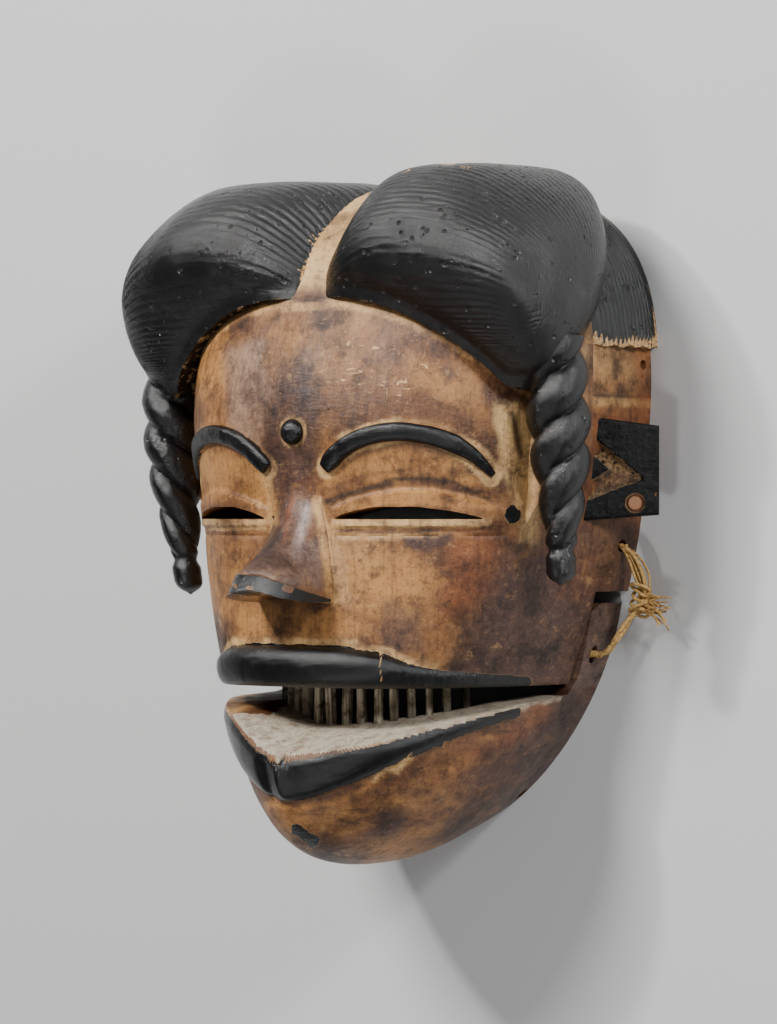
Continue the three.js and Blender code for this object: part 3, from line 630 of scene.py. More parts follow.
FACE_WOOD = carved_wood("carved_wood")
NOSE_WOOD = carved_wood("polished_nose", holes=0.0, gloss=1.0)
EAR_WOOD = carved_wood("ear_wood", gloss=-1.0)
JAW_WOOD = carved_wood("jaw_wood", run=(0.12, 1, 0.12))
HAIR_WOOD = hair_wood("black_coiffure", holes=0.8, grooves=1.2, sheen=0.07)
BRAID_WOOD = hair_wood("black_braids", holes=0.8, grooves=0.3, sheen=0.0)
CANE = cane_wood()
RAFFIA = raffia_fibre()
PEG_WOOD = peg_end()


# The head: shapes shared by several pieces
def face_z(x, y):
    return depth(y) * rounded(np.abs(x) / half_width(y), FACE_POWER, 0.0001)


def head_ring(turn, y, inset=0.0):
    a = np.maximum(half_width(y) - inset, 2)
    d = np.maximum(depth(y) - inset, 2)
    return grid(a * signed_power(np.sin(turn), 2 / FACE_POWER), y,
                d * np.maximum(np.cos(turn), 0) ** (2 / FACE_POWER))


def even_turns(count, crowd=0.0):
    """Turns that space points evenly round the head at eye height, or closer on the mask's left."""
    fine = np.linspace(-np.pi / 2, np.pi / 2, 6001)
    ring = head_ring(fine, 0.0)
    step = np.linalg.norm(np.diff(ring, axis=0), axis=1) * (1 + crowd * smooth(-50, -10, ring[1:, 0]))
    length = np.concatenate([[0], np.cumsum(step)])
    return np.interp(np.linspace(0, length[-1], count), length, fine)


def face_frame(x, y):
    """Point and outward normal on the plain face at each x and y."""
    h = 0.5
    normal = np.column_stack([face_z(x - h, y) - face_z(x + h, y), face_z(x, y - h) - face_z(x, y + h),
                              np.full(len(x), 2 * h)])
    return np.column_stack([x, y, face_z(x, y)]), unit(normal)


def head_hollow():
    turns = even_turns(90)
    low_z = HEAD_HOLLOW["low_z"]
    rings = []
    for y in np.concatenate([[HEAD_HOLLOW["low_y"]], np.linspace(FACE_BOTTOM_Y, HEAD_HOLLOW["top_y"], 60)]):
        front = head_ring(turns, y, WALL + HEAD_HOLLOW["crown_wall"] * smooth(*HEAD_HOLLOW["crown_y"], y))
        a = front[-1, 0]
        rings.append(np.vstack([front, [(a, y, low_z), (-a, y, low_z)]]))
    hollow = np.array(rings)
    adze = HEAD_HOLLOW["adze"] * noise(hollow * (1, 0.6, 1), 14, 31, 2)
    hollow[:, :-2] += grid_normals(hollow[:, :-2]) * adze[:, :-2, None] * (hollow[:, :-2, 2:] > 3)
    return loft("cutter", hollow)


def eye_slit():
    across = np.linspace(EYE_INNER_X, EYE_OUTER_X, 41)
    share = np.linspace(0, 1, 41)
    arch = np.sin(np.pi * share)
    wave = 0.18 * np.sin(9 * share) + 0.12 * np.sin(23 * share)
    upper = EYE_LOWER_Y + 0.4 + EYE_RISE * arch ** 0.8 + wave * arch
    outline = list(zip(across, EYE_LOWER_Y + 0.1 * wave)) + list(zip(across[::-1], upper[::-1]))
    return prism(outline, 30, 120, lambda p, z: (p[0], p[1], z))


def lip_height(turn, y):
    """How far the upper lip stands out by turn and height, and how near its middle each place is."""
    degrees = np.degrees(turn)
    half = lip_half_height(degrees)
    place = np.abs(y - FACE_BOTTOM_Y - half) / half
    place = np.where(y < FACE_BOTTOM_Y + half, place * 0.93, place)
    height = lip_proud(degrees) * np.maximum(1 - place ** 2.3, 0) ** 0.5
    reach = np.abs(degrees) < LIP_TURN_DEG
    return np.where(reach, height, 0), np.where(reach, place, 9)


def head_rows():
    """Heights of the face's rows of points, closer over the lip, the lids and the crown."""
    face = np.arange(-38, 74, 1.0)
    lip = np.arange(FACE_BOTTOM_Y, -38, 0.6)
    lids = np.arange(-9, 12, 0.55)
    ys = np.linspace(74, 113.8, 4000)
    length = np.cumsum(np.hypot(np.gradient(ys), np.gradient(depth(ys))))
    crown = np.interp(np.linspace(length[0], length[-1], 56), length, ys)
    face = face[(face < -9.3) | (face > 12.3)]
    return np.unique(np.round(np.concatenate([face, lip, lids, crown]), 3))


def upper_shell():
    turn, y = np.meshgrid(even_turns(FACE_COLUMNS, crowd=0.9), head_rows())
    points = head_ring(turn, y)
    normal = grid_normals(points)
    x, z = points[..., 0], points[..., 2]
    side = np.abs(x - FEATURE_X)
    lip, _ = lip_height(turn, y)
    ahead = smooth(20, 60, z)
    by_eye = smooth(EYE_INNER_X - 3, EYE_INNER_X + 4, side) * (1 - smooth(EYE_OUTER_X, EYE_OUTER_X + 5, side))
    lid_top = lid_crease(side)
    lid = by_eye * smooth(EYE_LOWER_Y - 3.2, EYE_LOWER_Y - 2.0, y) * smooth(lid_top, lid_top - 1.2, y)
    over_lid = by_eye * bell(np.maximum(y - lid_top, 0), 4.5) * (y > lid_top - 1)
    low_crease = by_eye * bell(y - EYE_LOWER_Y + 5.6, 0.45) * (noise(points, 5, 9) > -0.25)
    brow_hollow = np.exp(-((side - 36) / 24) ** 2 - ((y - 15) / 7) ** 2)
    keel = bell(x - FEATURE_X, 8) * smooth(18, 40, y) * (1 - smooth(66, 76, y))
    temple = bell(x - 71, 3.2) * smooth(-12, 4, y) * (1 - smooth(34, 44, y))
    cracks = bell(lattice(points * (1, 0.12, 1), 3.1, 14), 0.035)
    raised = {
        "lid": ahead * lid, "over_lid": -ahead * over_lid, "low_crease": -ahead * low_crease,
        "brow_hollow": -ahead * brow_hollow, "keel": ahead * keel, "temple": -temple,
        "crack": -cracks * (lip < 0.2), "tool_marks": noise(points * (1, 0.5, 1), 12, 3),
        "tool_grain": noise(points, 2.6, 13, 2), "lip_dents": noise(points, 5, 15) * (lip > 0.6)}
    height = lip + sum(FACE_RELIEF[name] * form for name, form in raised.items())
    height = height * smooth(2, 9, z)
    shell = loft("upper_mask_face", points + normal * height[..., None])
    slot = block((-120, -90, -30), (120, CHEEK_FOOT_Y, RAMUS_Z + MATING_GAP))
    tie_hole = bar((60, TIE["y"], TIE["z"]), (90, TIE["y"], TIE["z"]), TIE["hole"])
    rim_hole = bar((70, RIM_HOLE["y"], RIM_HOLE["z"]), (100, RIM_HOLE["y"], RIM_HOLE["z"]),
                   RIM_HOLE["radius"])
    slits = on_both_sides(eye_slit())
    for cutter in slits:
        cutter.data.transform(Matrix.Translation((FEATURE_X * MM, 0, 0)))
    cut(shell, [head_hollow(), slot, *slits, *on_both_sides(tie_hole), *on_both_sides(rim_hole)])
    return shell


# Paint: marks are placed where the camera sees them, in a picture 777 wide and 1024 high
def in_picture(points):
    """How far across and down the picture each point lies."""
    x, y, z = points.T
    z = z - CAMERA_TARGET.z / MM
    across = x * math.cos(CAMERA_TURN) - z * math.sin(CAMERA_TURN)
    nearer = x * math.sin(CAMERA_TURN) + z * math.cos(CAMERA_TURN)
    grow = PICTURE_SCALE / (1 - nearer * MM / CAMERA_DISTANCE)
    return np.column_stack([PICTURE_CENTRE[0] + grow * across, PICTURE_CENTRE[1] - grow * y])


def ragged(points, seed, amount=4.0):
    """Places in the picture, shifted a little so that painted edges come out uneven."""
    shift = np.column_stack([noise(points, 9, seed), noise(points, 9, seed + 40)])
    fine = np.column_stack([noise(points, 2.4, seed + 80, 2), noise(points, 2.4, seed + 120, 2)])
    return in_picture(points) + amount * shift + 0.7 * amount * fine


def from_line(at, line):
    """Distance of places in the picture from a bent line."""
    best = np.full(len(at), 1e9)
    line = np.array(line, float)
    for a, b in zip(line[:-1], line[1:]):
        along = b - a
        t = np.clip(((at - a) @ along) / (along @ along), 0, 1)
        best = np.minimum(best, np.hypot(*(at - a - t[:, None] * along).T))
    return best


def patch(at, outline, soft):
    """1 inside an outline and 0 outside, fading over a soft edge."""
    outline = np.array(outline, float)
    inside = np.zeros(len(at), bool)
    for (ax, ay), (bx, by) in zip(outline, np.roll(outline, -1, axis=0)):
        crosses = (ay > at[:, 1]) != (by > at[:, 1])
        where = (bx - ax) * (at[:, 1] - ay) / ((by - ay) or 1e-9) + ax
        inside ^= crosses & (at[:, 0] < where)
    edge = from_line(at, np.vstack([outline, outline[:1]]))
    return smooth(-soft, soft, np.where(inside, edge, -edge))


def drawn(places, edge, width, soft, points):
    """A mark of the picture: a line of some width, or a filled outline where the width is 0."""
    at = places[edge]
    if width:
        return smooth(width / 2 + soft, width / 2 - soft, from_line(at, points))
    return patch(at, points, soft)


def drawn_layers(places, marks):
    return [(strength * drawn(places, *mark), tone) for strength, tone, *mark in marks.values()]


def blob(points, centre, size):
    """A soft patch about a centre: 1 there, fading over size."""
    d = ((points - np.array(centre)) / np.array(size)) ** 2
    return np.exp(-d.sum(axis=1))


def tinted(base, layers):
    colour = np.tile(np.array(base, float), (len(layers[0][0]), 1))
    for strength, tone in layers:
        s = np.clip(strength, 0, 1)[:, None]
        colour = colour * (1 - s) + np.array(tone) * s
    return colour


def above_hairline(points):
    return points[..., 1] - np.interp(np.abs(points[..., 0]), hair_line[:, 0], hair_line[:, 1])


def turn_of(points):
    """The turn from straight ahead of points on the head's outline."""
    a, d = half_width(points[:, 1]), depth(points[:, 1])
    sine = np.clip(np.abs(points[:, 0]) / a, 0, 1) ** (FACE_POWER / 2)
    cosine = np.clip(points[:, 2] / d, 0, 1.2) ** (FACE_POWER / 2)
    return np.sign(points[:, 0]) * np.arctan2(sine, cosine)


def brow_path(side, count=120):
    line = spline(BROW_LINE, count)
    return face_frame(side * line[:, 0] + FEATURE_X, line[:, 1])


def from_brow(points):
    """Distance of points from the middle line of the nearer brow."""
    best = np.full(len(points), 99.0)
    for side in (1, -1):
        for centre in brow_path(side)[0][::2]:
            best = np.minimum(best, np.linalg.norm(points - centre, axis=1))
    return best


# Each mark has a strength, a tone, its kind of edge, the width of its line or 0, its softness and its points
FACE_MARKS = {
    "far temple": (0.85, GOLD, "loose", 0, 6, [(198, 340), (226, 335), (227, 470), (198, 480)]),
    "far forehead": (0.85, PINK_GREY, "loose", 0, 9, [
        (227, 346), (262, 340), (268, 400), (262, 446), (232, 440), (226, 400)]),
    "middle of forehead": (0.9, PURPLE, "loose", 0, 9, [
        (280, 350), (310, 340), (320, 400), (316, 455), (304, 505), (270, 500), (262, 450), (266, 400)]),
    "near forehead": (0.6, BROWN, "loose", 0, 10, [
        (318, 328), (400, 330), (470, 372), (495, 425), (400, 420), (330, 440)]),
    "over near brow": (0.75, UMBER, "loose", 0, 9, [
        (330, 395), (380, 390), (440, 400), (470, 425), (400, 420), (330, 440)]),
    "near temple": (0.7, GOLD, "loose", 0, 9, [(400, 345), (470, 375), (490, 415), (450, 400), (415, 380)]),
    "temple stain": (0.8, PURPLE, "loose", 12, 4, [(446, 370), (450, 376)]),
    "stain by braid": (0.8, UMBER, "loose", 9, 4, [(488, 390), (500, 400)]),
    "bare strip by braid": (0.9, CREAM, "loose", 0, 4, [
        (495, 405), (520, 398), (536, 450), (537, 548), (520, 542), (512, 500), (498, 460)]),
    "crack in strip": (0.85, DEEP, "tight", 6, 2.5, [(512, 412), (517, 436), (520, 456)]),
    "nick in strip": (0.8, UMBER, "tight", 3, 1.5, [(509, 470), (514, 500)]),
    "over near lid": (0.85, GOLD, "loose", 0, 5, [
        (322, 488), (345, 465), (400, 447), (455, 458), (490, 490), (440, 478), (380, 480)]),
    "near lid": (0.9, GOLD, "loose", 0, 3, [
        (330, 508), (345, 497), (400, 488), (450, 488), (488, 498), (496, 512), (420, 504), (345, 512)]),
    "inner lid crease": (0.9, DEEP, "tight", 6, 2.5, [(322, 503), (350, 494), (376, 486), (392, 484)]),
    "outer lid crease": (0.85, DEEP, "tight", 5, 2.5, [(385, 481), (420, 478), (453, 482), (488, 498)]),
    "upper lid crease": (0.7, UMBER, "tight", 4, 3, [(340, 484), (372, 474), (410, 470)]),
    "under near eye": (0.85, CREAM, "tight", 0, 1.5, [(331, 519), (492, 518), (492, 527), (331, 528)]),
    "below near eye": (0.7, PALE, "tight", 0, 2, [(333, 532), (480, 532), (470, 538), (340, 540)]),
    "low near crease": (0.9, DEEP, "tight", 1.6, 1, [(333, 531), (400, 532), (470, 530), (494, 526)]),
    "far lid": (0.8, GOLD, "loose", 0, 5, [(200, 452), (262, 458), (270, 505), (200, 503)]),
    "under far eye": (0.7, CREAM, "loose", 0, 2, [(200, 517), (268, 518), (266, 530), (203, 530)]),
    "low far crease": (0.8, UMBER, "tight", 1.6, 1, [(204, 532), (262, 531)]),
    "near cheek": (0.85, GOLD, "loose", 0, 12, [(342, 542), (400, 548), (445, 575), (400, 622), (342, 605)]),
    "red of near cheek": (0.8, RUST, "loose", 0, 12, [(448, 532), (500, 527), (506, 600), (440, 622)]),
    "stain under eye": (0.9, PURPLE, "loose", 0, 2.5, [
        (398, 537), (452, 534), (456, 543), (428, 550), (402, 546)]),
    "side of cheek": (0.95, PURPLE, "loose", 0, 20, [
        (500, 552), (560, 540), (600, 620), (590, 700), (430, 700), (462, 640)]),
    "stain over lip": (0.7, PURPLE, "loose", 0, 7, [(380, 600), (418, 603), (424, 650), (386, 652)]),
    "over lip": (0.7, GOLD, "loose", 0, 8, [(238, 606), (340, 610), (380, 640), (300, 642), (232, 640)]),
    "far cheek": (0.7, GOLD, "loose", 0, 7, [(200, 533), (246, 535), (240, 622), (208, 622)]),
    "far end of lip": (0.7, UMBER, "loose", 0, 6, [(206, 618), (236, 612), (238, 640), (215, 652)]),
    "by the tie": (0.6, RUST, "loose", 0, 10, [(545, 545), (600, 540), (610, 600), (560, 600)]),
    "edge of nose": (0.95, CREAM, "tight", 6, 2, [(319, 500), (325, 530), (330, 565), (334, 602)]),
    "near side of nose": (0.7, PALE, "loose", 12, 4, [(331, 530), (342, 570), (346, 600)]),
    "far side of nose": (0.8, PALE, "loose", 9, 3, [(266, 478), (271, 505), (274, 530)]),
}
LIP_SPLIT = ("tight", 2.4, 1.4, [(381, 652), (380, 664), (382, 680)])
EYE_SPOT = ("loose", 0, 6, [
    (504, 512), (510, 506), (515, 506), (519, 511), (519, 519), (514, 525), (508, 524), (504, 518)])
RIM_STAIN = ("loose", 8, 5, [(602, 350), (606, 412)])
SCRATCHED_FOREHEAD = ("loose", 0, 14, [(320, 330), (400, 334), (450, 372), (430, 400), (330, 392)])


def paint_face(shell):
    p = vertices(shell)
    n = normals(shell)
    x, y, z = p.T
    side = np.abs(x)
    turn = turn_of(p)
    degrees = np.degrees(turn)
    _, lip_near = lip_height(turn, y)
    outer = (n[:, 2] > 0.05) | (side > half_width(y) - WALL * 0.5) | (z > depth(y) - WALL * 0.5)
    under_hair = above_hairline(p)
    places = {"loose": ragged(p, 5), "tight": ragged(p, 6, 1.2)}
    broad = noise(p, 34, 6)
    middle = noise(p, 13, 7)
    fine = noise(p, 4, 12)
    streak = noise(p * (1, 0.22, 1), 8, 8)
    hair_band = smooth(-4.4, -3.2, under_hair + fine) * smooth(-0.2, -1.2, under_hair + 0.5 * fine)
    brow_rim = smooth(4.9, 3.5, from_brow(p) + 0.9 * fine + 0.5 * middle) * (z > 15)
    lip_top = FACE_BOTTOM_Y + 2 * lip_half_height(degrees)
    lip_rim = smooth(lip_top + 3.6, lip_top + 1.6, y + 1.5 * fine) * (np.abs(degrees) < 44)
    from_boss = np.hypot(x - FEATURE_X, y - BOSS["y"]) - BOSS["radius"]
    boss_rim = smooth(1.4, 0.7, from_boss + 0.9 * fine) * (z > 60)
    rim_side = smooth(52, 66, x) * smooth(50, 30, z + 5 * middle)
    layers = [
        (0.5 + 0.6 * broad, BROWN),
        (0.5 + 0.9 * middle, UMBER),
        *drawn_layers(places, FACE_MARKS),
        (0.9 * lip_rim * (0.75 + middle), CREAM),
        (0.95 * hair_band, PALE),
        (0.9 * bell(under_hair + 0.2, 0.7), DEEP),
        (0.95 * brow_rim * (0.6 + 1.8 * middle), CREAM),
        (0.95 * boss_rim * (0.7 + 1.2 * middle), CREAM),
        (0.35 * np.clip(streak * 1.3, 0, 1), UMBER),
        (0.9 * smooth(73.5, 77, y) * (side < 9) * (z > 25), CREAM),
        (0.75 * rim_side * smooth(36, 52, y + 4 * middle), PALE),
        (0.8 * rim_side * smooth(16, 6, z + 5 * middle) * smooth(30, 40, y), RUST),
        (0.8 * rim_side * smooth(38, 30, y) * smooth(-10, 0, y), RUST),
        (0.7 * rim_side * smooth(2, -10, y), PURPLE),
        (0.7 * rim_side * np.clip(middle * 1.6, 0, 1), UMBER),
    ]
    inner_tone = np.array(BROWN) * 0.45 * (1 + 0.5 * middle[:, None])
    paint(shell, "tint", np.where(outer[:, None], tinted(GOLD, layers), inner_tone))
    lip_pigment = smooth(1.22, 0.92, lip_near + 0.09 * fine) * smooth(78, 66, np.abs(degrees) + 4 * middle)
    lip_chips = smooth(0.1, 0.5, fine + middle - 0.5) * smooth(27, 30, degrees) * smooth(44, 38, degrees)
    pigment = np.maximum.reduce([
        lip_pigment * (1 - lip_chips) * (1 - 0.8 * drawn(places, *LIP_SPLIT)),
        smooth(0.2, 0.9, under_hair) * smooth(10, 12, side) * (z > 38),
        drawn(places, *EYE_SPOT),
        (0.5 + 0.9 * middle) * drawn(places, *RIM_STAIN) * rim_side])
    paint(shell, "pigment", np.where(outer, np.clip(pigment, 0, 1), 0))
    paint(shell, "scratched", drawn(places, *SCRATCHED_FOREHEAD))


upper = upper_shell()
paint_face(upper)
finish_piece(upper, "mask", FACE_WOOD, ("upper_mask",))


# The brows, the boss between them and the nose
def black_relief(name, rings, worn):
    """A raised form under black pigment, worn through to the wood by the given amounts."""
    piece = loft(name, rings)
    paint(piece, "tint", np.tile(np.array(GOLD), (len(worn), 1)))
    paint(piece, "pigment", 1 - np.clip(worn, 0, 1))
    finish_piece(piece, "mask", FACE_WOOD, sharp=60)


def brow(name, side):
    path, normal = brow_path(side)
    share = np.linspace(0, 1, len(path))
    taper = np.minimum(np.minimum(1, 0.75 + 3 * share), 0.35 + 2.6 * (1 - share))[:, None, None]
    across = np.cross(normal, unit(np.gradient(path, axis=0)))
    angle = circle(48)[None, :, None]
    rings = (path[:, None] + normal[:, None] * BROW_PROUD * taper * signed_power(np.cos(angle), 0.75)
             + across[:, None] * BROW_WIDTH / 2 * taper * signed_power(np.sin(angle), 0.85))
    worn = smooth(0.34, 0.1, np.cos(angle[..., 0]) + 0.3 * noise(rings, 4, 17)) \
        * (0.55 + 0.9 * noise(rings, 9, 18))
    rings = rings + normal[:, None] * (0.22 * noise(rings, 3.5, 16))[..., None]
    black_relief(name, rings, np.append(worn, [0, 0]))


def brow_boss():
    tilt = np.linspace(0.02, np.pi * 0.6, 22)[:, None]
    turn = circle(48)[None]
    base = face_z(FEATURE_X, BOSS["y"]) + 0.2
    radius = BOSS["radius"] * np.sin(tilt)
    rings = grid(FEATURE_X + radius * np.cos(turn), BOSS["y"] + radius * np.sin(turn),
                 base + BOSS["proud"] * np.cos(tilt))
    rings = rings + (0, 0, 1) * (0.2 * noise(rings, 2.5, 19))[..., None]
    black_relief("brow_boss", rings, np.zeros(rings[..., 0].size + 2))


NOSE_MARKS = {
    "shaded side": (0.9, PURPLE, "loose", 20, 8, [(284, 500), (270, 538), (252, 572)]),
    "red ridge": (0.85, RUST, "loose", 5, 3, [(292, 500), (287, 525), (281, 548)]),
    # painted highlight: a pale lilac line down the lit ridge of the nose
    "painted highlight on ridge": (0.85, RIDGE_HIGHLIGHT_LILAC, "loose", 9, 5, [(306, 508), (300, 535), (295, 562)]),
    "near wing": (0.8, GREY_PURPLE, "loose", 0, 6, [
        (278, 545), (318, 540), (326, 590), (285, 582), (262, 572)]),
    "near edge": (0.9, PALE, "loose", 8, 3, [(316, 500), (322, 530), (328, 566), (333, 600)]),
    "far edge": (0.8, PALE, "loose", 8, 4, [(272, 500), (274, 520)]),
    "root": (0.9, PURPLE, "loose", 0, 8, [(262, 455), (306, 455), (306, 492), (268, 492)]),
}
NOSE_LENS = [(225, 590), (229, 579), (236, 574), (262, 576), (284, 584), (304, 591), (327, 598), (334, 602),
             (300, 603), (277, 602), (252, 599), (233, 595)]  # the polished black end
NOSE_SPOTS = [("tight", 7, 2, [(285, 588), (290, 590)]), ("tight", 3, 1.5, [(234, 585), (236, 587)]),
              ("tight", 4, 1.5, [(248, 587), (251, 588)])]


def nose():
    heights = np.concatenate([np.linspace(NOSE["root_y"], -20, 90), np.linspace(-20.3, NOSE["base_y"], 36)])
    y = heights[:, None]
    down = np.clip((NOSE["root_y"] - y) / (NOSE["root_y"] - NOSE["tip_y"]), 0, 1)
    half = NOSE["root_half"] + (NOSE["base_half"] - NOSE["root_half"]) * down ** 0.8
    fullness = 1.35 + 0.75 * down ** 2 + 4 * down ** 12
    s = np.linspace(-1, 1, NOSE_COLUMNS)[None]
    x = half * s + FEATURE_X
    z = face_z(x, y) - 0.5 + nose_proud(y) * (1 - np.abs(s) ** fullness) ** 0.85
    front = grid(x, y + NOSE["lift"] * (1 - s * s) * down ** 3, z)
    flat = front.reshape(-1, 3)
    lens = patch(ragged(flat, 23, 1.0), NOSE_LENS, 1.2)
    dents = 0.25 * noise(flat, 7, 22) - 0.5 * lens + 0.3 * lens * noise(flat, 2.5, 24)
    front[..., 2] += dents.reshape(z.shape)
    back = grid(x[:, ::-1], y, 80.0)[:, ::12]
    piece = loft("nose", np.concatenate([front, back], axis=1))
    p = vertices(piece)
    places = {"loose": ragged(p, 25, 2.0), "tight": ragged(p, 26, 0.7)}
    layers = [(0.5 + 0.8 * noise(p, 12, 27), UMBER), *drawn_layers(places, NOSE_MARKS)]
    paint(piece, "tint", tinted(BROWN, layers))
    lens = patch(places["tight"], NOSE_LENS, 1.0)
    spots = np.maximum.reduce([drawn(places, *spot) for spot in NOSE_SPOTS])
    paint(piece, "pigment", lens * (1 - 0.9 * spots))
    paint(piece, "polish", lens)
    finish_piece(piece, "mask", NOSE_WOOD, sharp=50)


brow("brow_left", 1)
brow("brow_right", -1)
brow_boss()
nose()


# Coiffure lobes: grooves are combed in planes through the root of the braid
def lobe_radius(direction, top):
    total = 0
    for facing, distance in LOBE_FACINGS + [((0, 1, 0), top)]:
        way = np.array(facing, float) / np.linalg.norm(facing)
        total = total + (np.maximum(direction @ way, 0) / distance) ** LOBE_POWER
    return total ** (-1 / LOBE_POWER)


def below_hairline():
    outline = [(-30, 20), (110, 20)] + [tuple(p) for p in hair_line[::-1]] + [(-30, HAIRLINE[0][1])]
    return prism(outline, -10, 150, lambda p, z: (p[0], p[1], z))


def parting_half(z):
    return PARTING_BACK_HALF + (PARTING_FRONT_HALF - PARTING_BACK_HALF) * smooth(PARTING_CLOSED_Z, 90, z)


def parting_strip():
    zs = np.linspace(-20, 130, 60)
    outline = [(-60, -20)] + [(float(parting_half(z)), z) for z in zs] + [(-60, 130)]
    return prism(outline, 20, 150, lambda p, y: (p[0], y, p[1]))


def comb_ridges(points, rate, wander=0):
    """1 on a combed ridge and 0 in a groove."""
    turn = np.arctan2(points[..., 2] - COMB_ROOT_Z, points[..., 1] - COMB_ROOT_Y) + wander
    return np.abs(np.sin(turn * rate / 2))


def coiffure_lobe(side):
    rows, columns = LOBE_MESH
    tilt = np.linspace(0.02, np.pi - 0.02, rows)[:, None]
    turn = circle(columns)[None]
    direction = grid(-np.cos(tilt), np.sin(tilt) * np.cos(turn), np.sin(tilt) * np.sin(turn))
    points = direction * lobe_radius(direction, LOBE_TOP[side])[..., None] + LOBE_CENTRE
    normal = grid_normals(points)
    normal *= np.sign(np.einsum("ijk,ijk->ij", normal, direction))[..., None]
    x, y, z = points[..., 0], points[..., 1], points[..., 2]
    line = above_hairline(points)
    strip = bell(np.maximum(x - parting_half(z), 0), 13) * smooth(30, 62, z)
    fade = smooth(6, 20, np.hypot(y - COMB_ROOT_Y, z - COMB_ROOT_Z)) * smooth(2, 12, line)
    edge = smooth(95, 110, y) if side == "left" else smooth(62, 82, x)
    comb = COMB[side]
    amount = comb["open"] + comb["strip"] * strip + comb["edge"] * edge
    grooves = comb_ridges(points, comb["rate"], 0.02 * noise(points, 30, 21)) ** 0.7 - 0.6
    patchy = 0.45 + 0.75 * smooth(-0.5, 0.5, noise(points, 22, 23))
    height = amount * patchy * fade * grooves * 1.7
    height = height + 0.25 * noise(points, 16, 24) + 0.13 * noise(points, 4, 25, 2)
    height = height - 0.9 * bell(line - 4, 3.5)
    points = points + normal * height[..., None]
    trim, trim_from, trim_to = CROWN_TRIM
    points[..., 1] -= trim * smooth(trim_from, trim_to, points[..., 1])
    lobe = loft(f"coiffure_lobe_{side}", points)
    cut(lobe, [below_hairline(), parting_strip(), head_hollow()])
    if side == "right":
        mirror_piece(lobe)
    p = vertices(lobe)
    q = p * (1 if side == "left" else -1, 1, 1)
    at_line = bell(above_hairline(q), 0.9)
    from_strip = np.abs(q[:, 0]) - parting_half(q[:, 2])
    scallops = 2.6 * comb_ridges(q, comb["rate"]) ** 2 * (0.55 + 1.4 * noise(q, 8, 27))
    reach = np.clip(scallops, 0, 4) if side == "right" else 0.8
    at_strip = smooth(reach + 0.8, reach, from_strip + 0.5 * noise(q, 3, 26)) * (q[:, 2] > 20)
    chips = sum(blob(q, *chip) for chip in CROWN_CHIPS)
    groove = bell(q[:, 2] - 30, 3.0) * smooth(60, 78, q[:, 0])
    paint(lobe, "wear", np.clip(0.5 * at_line + 0.75 * at_strip + 0.8 * chips + 0.3 * groove, 0, 1))
    finish_piece(lobe, "mask", HAIR_WOOD, sharp=50)


# The striped band behind the lobes
def band_ridges(points):
    """1 on a combed ridge of the band and 0 in a groove, and how far its grooves wander."""
    wander = noise(points * (1, 0.5, 1), 26, 41)
    return np.abs(np.sin((points[..., 2] + 0.7 * wander) * np.pi / BAND["pitch"])), wander


def rear_band():
    rows, columns = BAND_MESH
    z = np.linspace(0, BAND_ROWS[-1][0], rows)[:, None]
    turn = np.linspace(0, np.pi, columns)[None]
    share = profile(BAND_ROWS)(z)
    points = grid(
        BAND["half_width"] * share * signed_power(np.cos(turn), 2 / BAND["power"]),
        BAND["centre_y"] + BAND["reach_y"] * share * np.abs(np.sin(turn)) ** (2 / BAND["power"]), z)
    ridges, wander = band_ridges(points)
    away = unit((points - (0, 60, 0)) * (1, 1, 0))
    height = 0.75 * (ridges ** 0.8 - 0.6) * smooth(1.5, 4, points[..., 2]) + 0.3 * wander
    band = loft("coiffure_rear_band", points + away * height[..., None])
    zigzag = [(float(z), BAND["foot_y"] + 0.4 * math.sin(z * 0.9) + 0.25 * math.sin(z * 3.3))
              for z in np.linspace(-20, 60, 90)]
    foot = prism([(-20, -20)] + zigzag + [(60, -20)], -120, 120, lambda p, x: (x, p[1], p[0]))
    cut(band, [foot, head_hollow()])
    p = vertices(band)
    x, y, z = p.T
    at_side = np.abs(x) > 50
    low = smooth(BAND["foot_y"] + 5, BAND["foot_y"] + 0.5, y + 2.5 * noise(p, 5, 42)) * at_side
    streaks = band_ridges(p)[0] ** 3 * smooth(BAND["foot_y"] + 34, BAND["foot_y"], y) * at_side
    paint(band, "wear", np.clip(0.7 * low + 0.5 * bell(z, 1.6) + 0.42 * streaks, 0, 1))
    finish_piece(band, "mask", HAIR_WOOD, sharp=50)


for side in SIDES:
    coiffure_lobe(side)
rear_band()


# Braids
def braid(side):
    end_y, lean = BRAID_SIDES[side]
    rows, columns = BRAID_MESH
    t = np.linspace(0, 1, rows)[:, None]
    angle = circle(columns)[None]
    y = BRAID["top_y"] + (end_y - BRAID["top_y"]) * t
    turn = 2 * np.pi * (BRAID["top_y"] - y) / BRAID["pitch"]
    closing = np.sqrt(np.maximum(1 - smooth(0.94, 1, t) ** 2, 0.02))
    radius = BRAID["radius"] + (BRAID["end_radius"] - BRAID["radius"]) * smooth(0.35, 1, t)
    strand = np.abs(np.cos(angle - turn))
    ball = smooth(0.84, 0.87, t)
    neck = 0.26 * bell(t - 0.86, 0.022)
    coil = (0.67 + 0.36 * strand ** 0.6) * (1 - ball) + 1.0 * ball
    r = radius * closing * coil * (1 - neck)
    centre_x = BRAID["x"] + BRAID["bow"] * np.sin(3 * t) - lean * t ** 2
    centre_z = BRAID["z"] - BRAID["back_lean"] * t
    points = grid(centre_x + r * np.cos(angle), y, centre_z + r * np.sin(angle))
    outward = unit(points - grid(centre_x, y, centre_z))
    rope = loft(f"braid_{side}", points + outward * (0.35 * noise(points, 6, 51))[..., None])
    if side == "right":
        mirror_piece(rope)
    paint(rope, "wear", 0.25 * (1 - np.append(strand, [1, 1])))
    finish_piece(rope, "mask", BRAID_WOOD, sharp=60)


